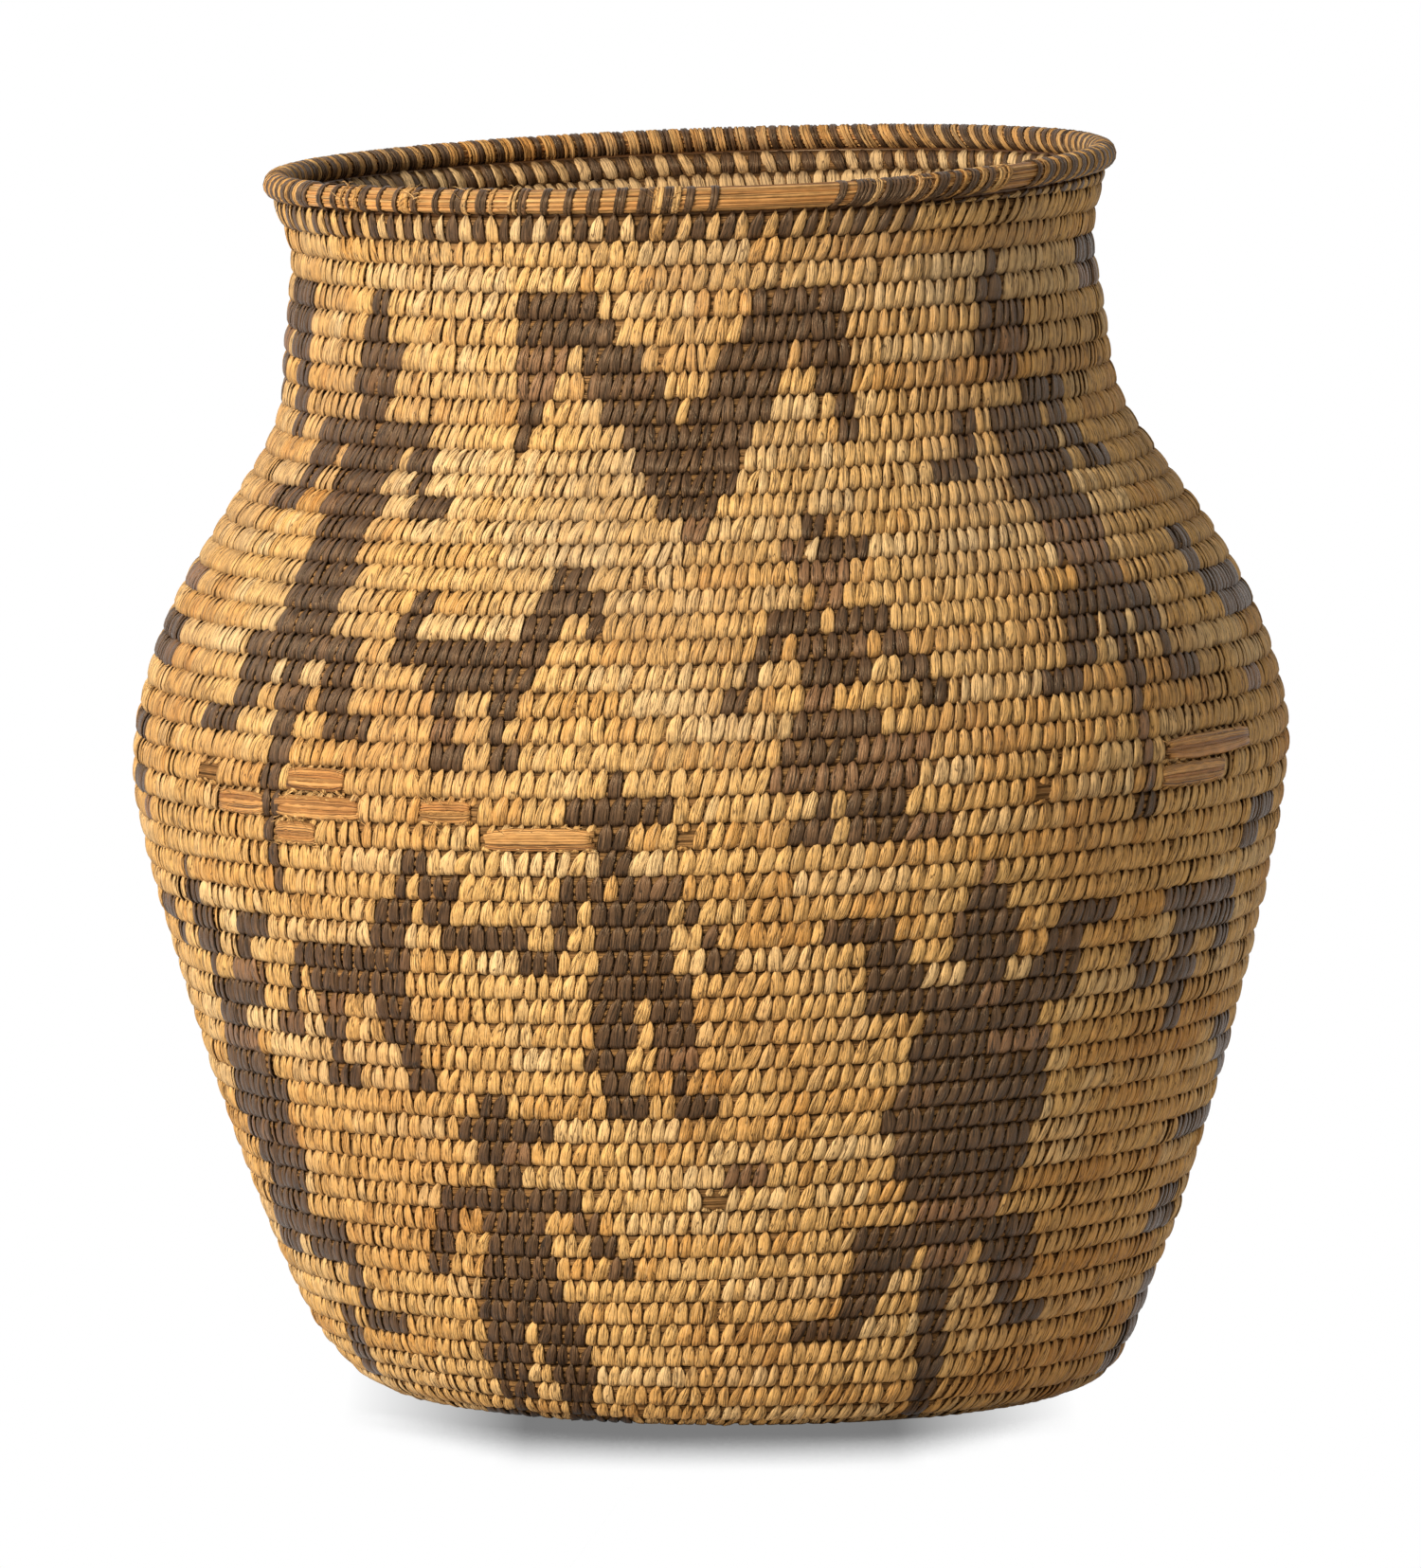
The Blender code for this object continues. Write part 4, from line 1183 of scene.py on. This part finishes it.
class BASKET_OT_start_knot(bpy.types.Operator):
    """Wrap the knot that the coil starts from"""

    bl_idname = "basket.start_knot"
    bl_label = "Start Knot"

    def execute(self, context):
        splints = context.scene.basket_splints
        rng = np.random.default_rng(splints.seed + 1)
        edge = coil_arc(KNOT_TURNS) - CLEARANCE
        angle = evenly_round(KNOT_WRAPS)
        way = evenly_round(KNOT_STATIONS)
        every = np.ones((KNOT_WRAPS, 1))
        up = every * edge * (KNOT_CENTRE_SHARE - KNOT_REACH_SHARE * np.cos(way))
        out = every * KNOT_RISE_SHARE * COIL_THICKNESS * np.sin(way)
        middle = np.full(KNOT_WRAPS, edge / 2)
        half_width = every * np.full(len(way), KNOT_FILL_SHARE * math.pi * edge / 2 / KNOT_WRAPS)
        thickness = np.full(KNOT_WRAPS, splints.thickness)
        roll = rng.normal(0, KNOT_ROLL, KNOT_WRAPS)
        rings, fibre = sweep(angle, middle, up, out, half_width, 0 * up, thickness, roll, True)
        tone = rng.random(KNOT_WRAPS)[:, None, None]
        piece = loft_piece("knot_splints", rings, True, fibre, vectors(tone, SECTION_DIRT_AND_SHADE, SECTION_ACROSS))
        settle(piece, light_material(splints), "light_splint", "start_knot")

        # The core is an egg shape whose ends stay a little open for their caps
        around = evenly_round(KNOT_CORE_SIDES)
        heights = np.linspace(-1, 1, KNOT_CORE_RINGS)[:, None]
        reach = KNOT_CORE_REACH_SHARE * edge * np.sqrt(1 + KNOT_CORE_OPENING - heights**2)
        core = place(around, reach, KNOT_CORE_RISE_SHARE * COIL_THICKNESS * heights)
        fibre = vectors(heights, around, 1.0) * KNOT_CORE_GRAIN
        piece = loft_piece("knot_core", core[None], False, fibre, KNOT_CORE_SHADE)
        settle(piece, rod_material(), "bare_rod", "start_knot")
        return {"FINISHED"}


class BASKET_OT_rim(bpy.types.Operator):
    """Lay the rods of the rim and wind its dark and light splints round them"""

    bl_idname = "basket.rim"
    bl_label = "Rim"

    def execute(self, context):
        splints = context.scene.basket_splints
        rng = np.random.default_rng(splints.seed + 2)
        self.lay_strands(bare_material(), rng)
        dark = [(float(seen_angle(1, column)), count) for column, count in RIM_DARK]
        light = [(float(seen_angle(1, column)), count) for column, count in RIM_LIGHT]
        start = dark[-1][0] + RIM_SPLINT_STEP / LIP_RADIUS
        end = dark[0][0] + FULL_TURN - RIM_SPLINT_STEP / LIP_RADIUS
        full = np.linspace(start, end, round((end - start) * LIP_RADIUS / RIM_SPLINT_STEP))
        for number, angle in enumerate(full):
            wide = number % 2 == (abs(math.cos(angle)) > DARK_RIM_SHARE)
            splint = (angle + rng.normal(0, RIM_SPLINT_SCATTER), RIM_SPLINT_STRANDS[wide])
            (dark if number % 2 else light).append(splint)
        self.wind("rim_dark_splints", dark, 0.0, dark_material(splints), "dark_splint", rng)
        self.wind("rim_light_splints", light, LIGHT_RIM_TONE, light_material(splints), "light_splint", rng)
        return {"FINISHED"}

    def lay_strands(self, material, rng):
        """The rods of the rim, split into strands, on a core that fills the bundle."""
        nodes = ["rim_coil", *(f"rim_rod_{number + 1}" for number in range(RIM_RODS))]
        angles = np.linspace(0, FULL_TURN, RIM_RINGS + 1)[:-1] * np.ones((RIM_STRANDS, 1))
        # Slow waves along the rim keep the strands from lying quite straight
        around = evenly_round(RIM_STRANDS)[:, None] + RIM_WAVE_ANGLE * np.sin(RIM_WAVES * angles)
        spread = rng.normal(1, RIM_SPREAD_SCATTER, (RIM_STRANDS, 1)) * np.ones_like(angles)
        spread = RIM_STRAND_SPREAD * spread
        up, out = spread * np.sin(around), spread * np.cos(around)
        rings, fibre = strands(angles, rim_arc(angles) + up, out, RIM_STRAND_RADIUS, 1, rng)
        sewn = clean_tones(RIM_STRANDS, *RIM_STRAND_TONES, rng)
        piece = loft_piece("rim_strands", rings, True, fibre, sewn, RIM_RINGS_TO_A_STRIP)
        settle(piece, material, "bare_rod", *nodes)

        angles = angles[:1, ::2, None]
        around = evenly_round(RIM_CORE_SIDES)
        tubes = [
            place(angles, rim_arc(angles) - drop + radius * np.sin(around), radius * np.cos(around))
            for drop, radius in ((0, RIM_CORE_RADIUS), (RIM_COIL_RADIUS, RIM_LACING_RADIUS))
        ]
        rings = np.concatenate(tubes)
        piece = loft_piece("rim_core", rings, True, 0.0, RIM_CORE_SHADE, RIM_RINGS_TO_A_STRIP // 2)
        settle(piece, material, "bare_rod", *nodes)

    def wind(self, name, wound, least_tone, material, slot, rng):
        """A piece with splints wound round the rim, given by direction and number of strands."""
        angle = np.array(
            [
                middle + (number - (count - 1) / 2) * WOUND_STRAND_STEP / LIP_RADIUS
                for middle, count in wound
                for number in range(count)
            ]
        )
        count = len(angle)
        way = evenly_round(RIM_SPLINT_STATIONS)
        radius = RIM_SPLINT_RADIUS * rng.uniform(*WOUND_RADIUS_SHARES, (count, 1))
        up, out = radius * np.sin(way), radius * np.cos(way)
        lean = np.interp(np.cos(angle), RIM_LEAN_PLACES, RIM_LEANS)
        shift = lean[:, None] * np.sin(way) + rng.normal(0, WOUND_STRAND_SHIFT, (count, 1))
        half_width = WOUND_STRAND_HALF_WIDTH * rng.normal(1, WOUND_WIDTH_SCATTER, (count, 1))
        half_width = half_width * (1 - WOUND_PINCH_SHARE * np.sin(way) ** 2)
        thickness = np.full(count, WOUND_STRAND_THICKNESS)
        roll = rng.normal(0, WOUND_ROLL, count)
        rings, fibre = sweep(angle, rim_arc(angle), up, out, half_width, shift, thickness, roll, True)
        # Dirt and painted shade lie in the edges of the strands, and painted shade under the rim
        dirt_and_shade = SECTION_DIRT_AND_SHADE * WOUND_EDGE_DIRT_AND_SHADE + np.clip(-np.sin(way) - WOUND_UNSHADED_SHARE, 0, 1)[:, None]
        tone = least_tone + rng.random(count) * WOUND_TONES + rng.normal(0, WOUND_TONE_SCATTER, count)
        tone = np.clip(tone, 0, 1)
        sewn = vectors(tone[:, None, None], dirt_and_shade, SECTION_ACROSS)
        nodes = [f"rim_splint_{number + 1:02}" for number in range(RIM_SPLINTS)]
        settle(loft_piece(name, rings, True, fibre, sewn), material, slot, "rim_coil", *nodes)


class BASKET_OT_worn_places(bpy.types.Operator):
    """Lay the rods that show, split into strands, where the belly's splints have worn away"""

    bl_idname = "basket.worn_places"
    bl_label = "Worn Places"

    def execute(self, context):
        splints = context.scene.basket_splints
        rng = np.random.default_rng(splints.seed + 3)
        for name, (run_turn, degrees, length) in WORN_RUNS.items():
            middle_turn = turn_at(run_turn, math.radians(degrees))
            half = length / 2 / radius_at(coil_arc(middle_turn))
            ends = half * rng.uniform(*WORN_END_SHARES, (2, WORN_STRANDS, 1))
            along = np.linspace(-1, 1, WORN_RINGS)
            away = along * np.where(along < 0, ends[0], ends[1])
            middle, height, rise = coil_at(middle_turn - away / FULL_TURN)
            across = np.linspace(-WORN_SPREAD_SHARE, WORN_SPREAD_SHARE, WORN_STRANDS)[:, None]
            across = across * (1 - WORN_TAPER_SHARE * along**4) + rng.normal(0, WORN_WAVER_SHARE, away.shape)
            outward = rise * (WORN_RISE_SHARE + WORN_CREST_SHARE * np.cos(across * math.pi))
            outward = outward + rng.normal(0, WORN_WAVER_OUT, away.shape)
            angles = math.radians(degrees) + away
            radius = WORN_STRAND_RADIUS * rng.uniform(*WORN_STRAND_SHARES, (WORN_STRANDS, 1))
            rings, fibre = strands(angles, middle + across * height, outward, radius, WORN_FLATNESS, rng)
            sewn = clean_tones(WORN_STRANDS, *WORN_TONES, rng)
            piece = loft_piece(f"{name}_strands", rings, False, fibre, sewn)
            settle(piece, bare_material(), "bare_rod", *worn_nodes(name))
        return {"FINISHED"}


class BASKET_OT_loose_fibres(bpy.types.Operator):
    """Lay the fine fibres that stand off the worn splints of the belly and the rim"""

    bl_idname = "basket.loose_fibres"
    bl_label = "Loose Fibres"

    def execute(self, context):
        splints = context.scene.basket_splints
        rng = np.random.default_rng(splints.seed + 4)
        angle, arc, outward = [], [], []
        for run_turn, degrees, length in WORN_RUNS.values():
            middle, height, rise = coil_at(turn_at(run_turn, math.radians(degrees)))
            half = length / 2 / radius_at(middle)
            angle += list(math.radians(degrees) + half * rng.uniform(*FIBRE_ALONG_SHARES, FIBRES_TO_A_RUN))
            side = height * rng.choice((-0.5, 0.5), FIBRES_TO_A_RUN)
            arc += list(middle + side * rng.uniform(*FIBRE_EDGE_SHARES, FIBRES_TO_A_RUN))
            outward += [FIBRE_OUT_SHARE * rise] * FIBRES_TO_A_RUN
        slope = rng.uniform(*RUN_SLOPES, len(angle))
        top = np.full(len(angle), WALL_LENGTH)

        columns, rises = np.repeat(FRAYS, FIBRES_TO_A_FRAY, axis=0).T
        frayed = seen_angle(1, columns) + rng.normal(0, FRAY_SCATTER, len(columns))
        way = rng.uniform(*FRAY_WAYS, len(columns))
        angle = np.append(angle, frayed)
        arc = np.append(arc, rim_arc(frayed) + FRAY_OUT_SHARE * RIM_SPLINT_RADIUS * np.sin(way))
        outward = np.append(outward, FRAY_OUT_SHARE * RIM_SPLINT_RADIUS * np.cos(way))
        slope = np.append(slope, rng.uniform(*FRAY_SLOPES, len(columns)))
        top = np.append(top, rim_arc(frayed) + RIM_SPLINT_RADIUS + rises)
        nodes = [node for name in WORN_RUNS for node in worn_nodes(name)]
        piece = loft_piece("loose_fibres", *self.lay(angle, arc, outward, slope, top, rng))
        settle(piece, bare_material(), "bare_rod", "rim_coil", *nodes)
        return {"FINISHED"}

    def lay(self, angle, arc, outward, slope, top, rng):
        """The rings, whether they close, and the vectors of tapering fibres that start at these places,
        climb by these slopes and stay below the top."""
        count = len(angle)
        along = np.linspace(0, 1, FIBRE_RINGS)
        length = rng.uniform(*FIBRE_LENGTHS, (count, 1))
        way = rng.choice((-1, 1), (count, 1)) * length * along
        climb = length * along * (slope[:, None] + rng.normal(0, FIBRE_CURL, (count, 1)) * along)
        lift = rng.uniform(0, FIBRE_LIFT, (count, 1)) * np.sin(along * FIBRE_BOW)
        arcs = np.minimum(np.reshape(arc, (count, 1)) + climb, top[:, None])
        angles = np.reshape(angle, (count, 1)) + way / radius_at(arcs)
        radius = FIBRE_RADIUS * (FIBRE_TAPER - along) * rng.uniform(*FIBRE_WIDTH_SHARES, (count, 1))
        rings, fibre = strands(angles, arcs, np.reshape(outward, (count, 1)) + lift, radius, 1, rng)
        return rings, False, fibre, clean_tones(count, *FIBRE_TONES, rng)


class BASKET_OT_stage(bpy.types.Operator):
    """Set up the floor, the light and the camera"""

    bl_idname = "basket.stage"
    bl_label = "Stage"

    def execute(self, context):
        stage = context.scene.basket_stage
        scene = context.scene
        bpy.ops.mesh.primitive_circle_add(vertices=64, radius=FLOOR_RADIUS, fill_type="NGON")
        floor = context.object
        floor.name = "floor"
        floor.data.materials.append(self.floor_material())

        self.soft_lamp("key", stage.key_power, KEY_SIZE, Vector(KEY_PLACE))
        world = bpy.data.worlds.new("Studio")
        world.use_nodes = True
        tree = world.node_tree
        background = tree.nodes["Background"].inputs
        seen = self.seen_plainly(tree)
        strength = calc(tree, "MULTIPLY_ADD", seen, 1 - stage.fill_strength, stage.fill_strength)
        tree.links.new(strength, background["Strength"])
        background["Color"].default_value = (1, 1, 1, 1)
        scene.world = world

        camera = bpy.data.objects.new("camera", bpy.data.cameras.new("camera"))
        camera.data.sensor_width = SENSOR_WIDTH
        camera.data.lens = SENSOR_WIDTH * PIXELS_PER_METRE * stage.distance / PHOTO_HEIGHT
        camera.data.clip_end = 100
        up, back = math.sin(stage.elevation), math.cos(stage.elevation)
        camera.location = (0, -stage.distance * back, CAMERA_AIM_HEIGHT + stage.distance * up)
        camera.rotation_euler = Euler((math.pi / 2 - stage.elevation, 0, 0))
        scene.collection.objects.link(camera)
        scene.camera = camera
        scene.view_settings.view_transform = "Standard"
        return {"FINISHED"}

    def seen_plainly(self, tree):
        """1 for what the camera sees, straight or in a gloss or through glass, and 0 otherwise."""
        path = add(tree, "ShaderNodeLightPath").outputs
        glossy = calc(tree, "MAXIMUM", path["Is Camera Ray"], path["Is Glossy Ray"])
        return calc(tree, "MAXIMUM", glossy, path["Is Transmission Ray"])

    def floor_material(self):
        """A white studio floor, which is seen with no shadow but the soft one under the basket."""
        material = bpy.data.materials.new("White Floor")
        material.use_nodes = True
        tree = material.node_tree
        tree.nodes.remove(tree.nodes["Principled BSDF"])
        plain = add(tree, "ShaderNodeBsdfDiffuse", [("Color", FLOOR_GREY)]).outputs[0]
        openness = add(tree, "ShaderNodeAmbientOcclusion", [("Distance", SHADOW_REACH)]).outputs["AO"]
        spot = add(tree, "ShaderNodeTexCoord").outputs["Object"]
        sideways = calc(tree, "ABSOLUTE", add(tree, "ShaderNodeSeparateXYZ", [(0, spot)]).outputs[0])
        open_light = ranged(tree, openness, *OPENNESS_FADE, first=LEAST_FLOOR_LIGHT)
        side_light = ranged(tree, sideways, *SIDE_FADE, last=SIDE_FLOOR_LIGHT)
        lit = calc(tree, "MINIMUM", calc(tree, "ADD", open_light, side_light), 1.0)
        seen = add(tree, "ShaderNodeEmission", [("Strength", lit)]).outputs[0]
        chosen = add(tree, "ShaderNodeMixShader", [(0, self.seen_plainly(tree)), (1, plain), (2, seen)])
        tree.links.new(chosen.outputs[0], tree.nodes["Material Output"].inputs["Surface"])
        return material

    def soft_lamp(self, name, power, size, away):
        """A square lamp that looks at the middle of the basket."""
        lamp = bpy.data.objects.new(name, bpy.data.lights.new(name, "AREA"))
        lamp.data.energy = power
        lamp.data.size = size
        lamp.location = Vector((0, 0, CAMERA_AIM_HEIGHT)) + away
        lamp.rotation_euler = (-away).to_track_quat("-Z", "Y").to_euler()
        bpy.context.scene.collection.objects.link(lamp)


class VIEW3D_PT_basket(bpy.types.Panel):
    """Lists the basket's pieces and settings"""

    bl_label = "Basket"
    bl_idname = "VIEW3D_PT_basket"
    bl_space_type = "VIEW_3D"
    bl_region_type = "UI"
    bl_category = "Basket"

    def draw(self, context):
        for operator in OPERATORS:
            self.layout.operator(operator.bl_idname)
        for group in (context.scene.basket_splints, context.scene.basket_stage):
            box = self.layout.box()
            for label in group.bl_rna.properties.keys():
                if label not in ("rna_type", "name"):
                    box.prop(group, label)


OPERATORS = (
    BASKET_OT_coil_rods,
    BASKET_OT_sewn_splints,
    BASKET_OT_start_knot,
    BASKET_OT_rim,
    BASKET_OT_worn_places,
    BASKET_OT_loose_fibres,
    BASKET_OT_stage,
)
CLASSES = (SplintSettings, StageSettings, *OPERATORS, VIEW3D_PT_basket)


def register():
    for each in CLASSES:
        bpy.utils.register_class(each)
    bpy.types.Scene.basket_splints = PointerProperty(type=SplintSettings)
    bpy.types.Scene.basket_stage = PointerProperty(type=StageSettings)


def unregister():
    del bpy.types.Scene.basket_stage
    del bpy.types.Scene.basket_splints
    for each in reversed(CLASSES):
        bpy.utils.unregister_class(each)


def main():
    """Makes every piece."""
    register()
    bpy.ops.basket.coil_rods()
    bpy.ops.basket.sewn_splints()
    bpy.ops.basket.start_knot()
    bpy.ops.basket.rim()
    bpy.ops.basket.worn_places()
    bpy.ops.basket.loose_fibres()
    bpy.ops.basket.stage()


if __name__ == "__main__":
    main()
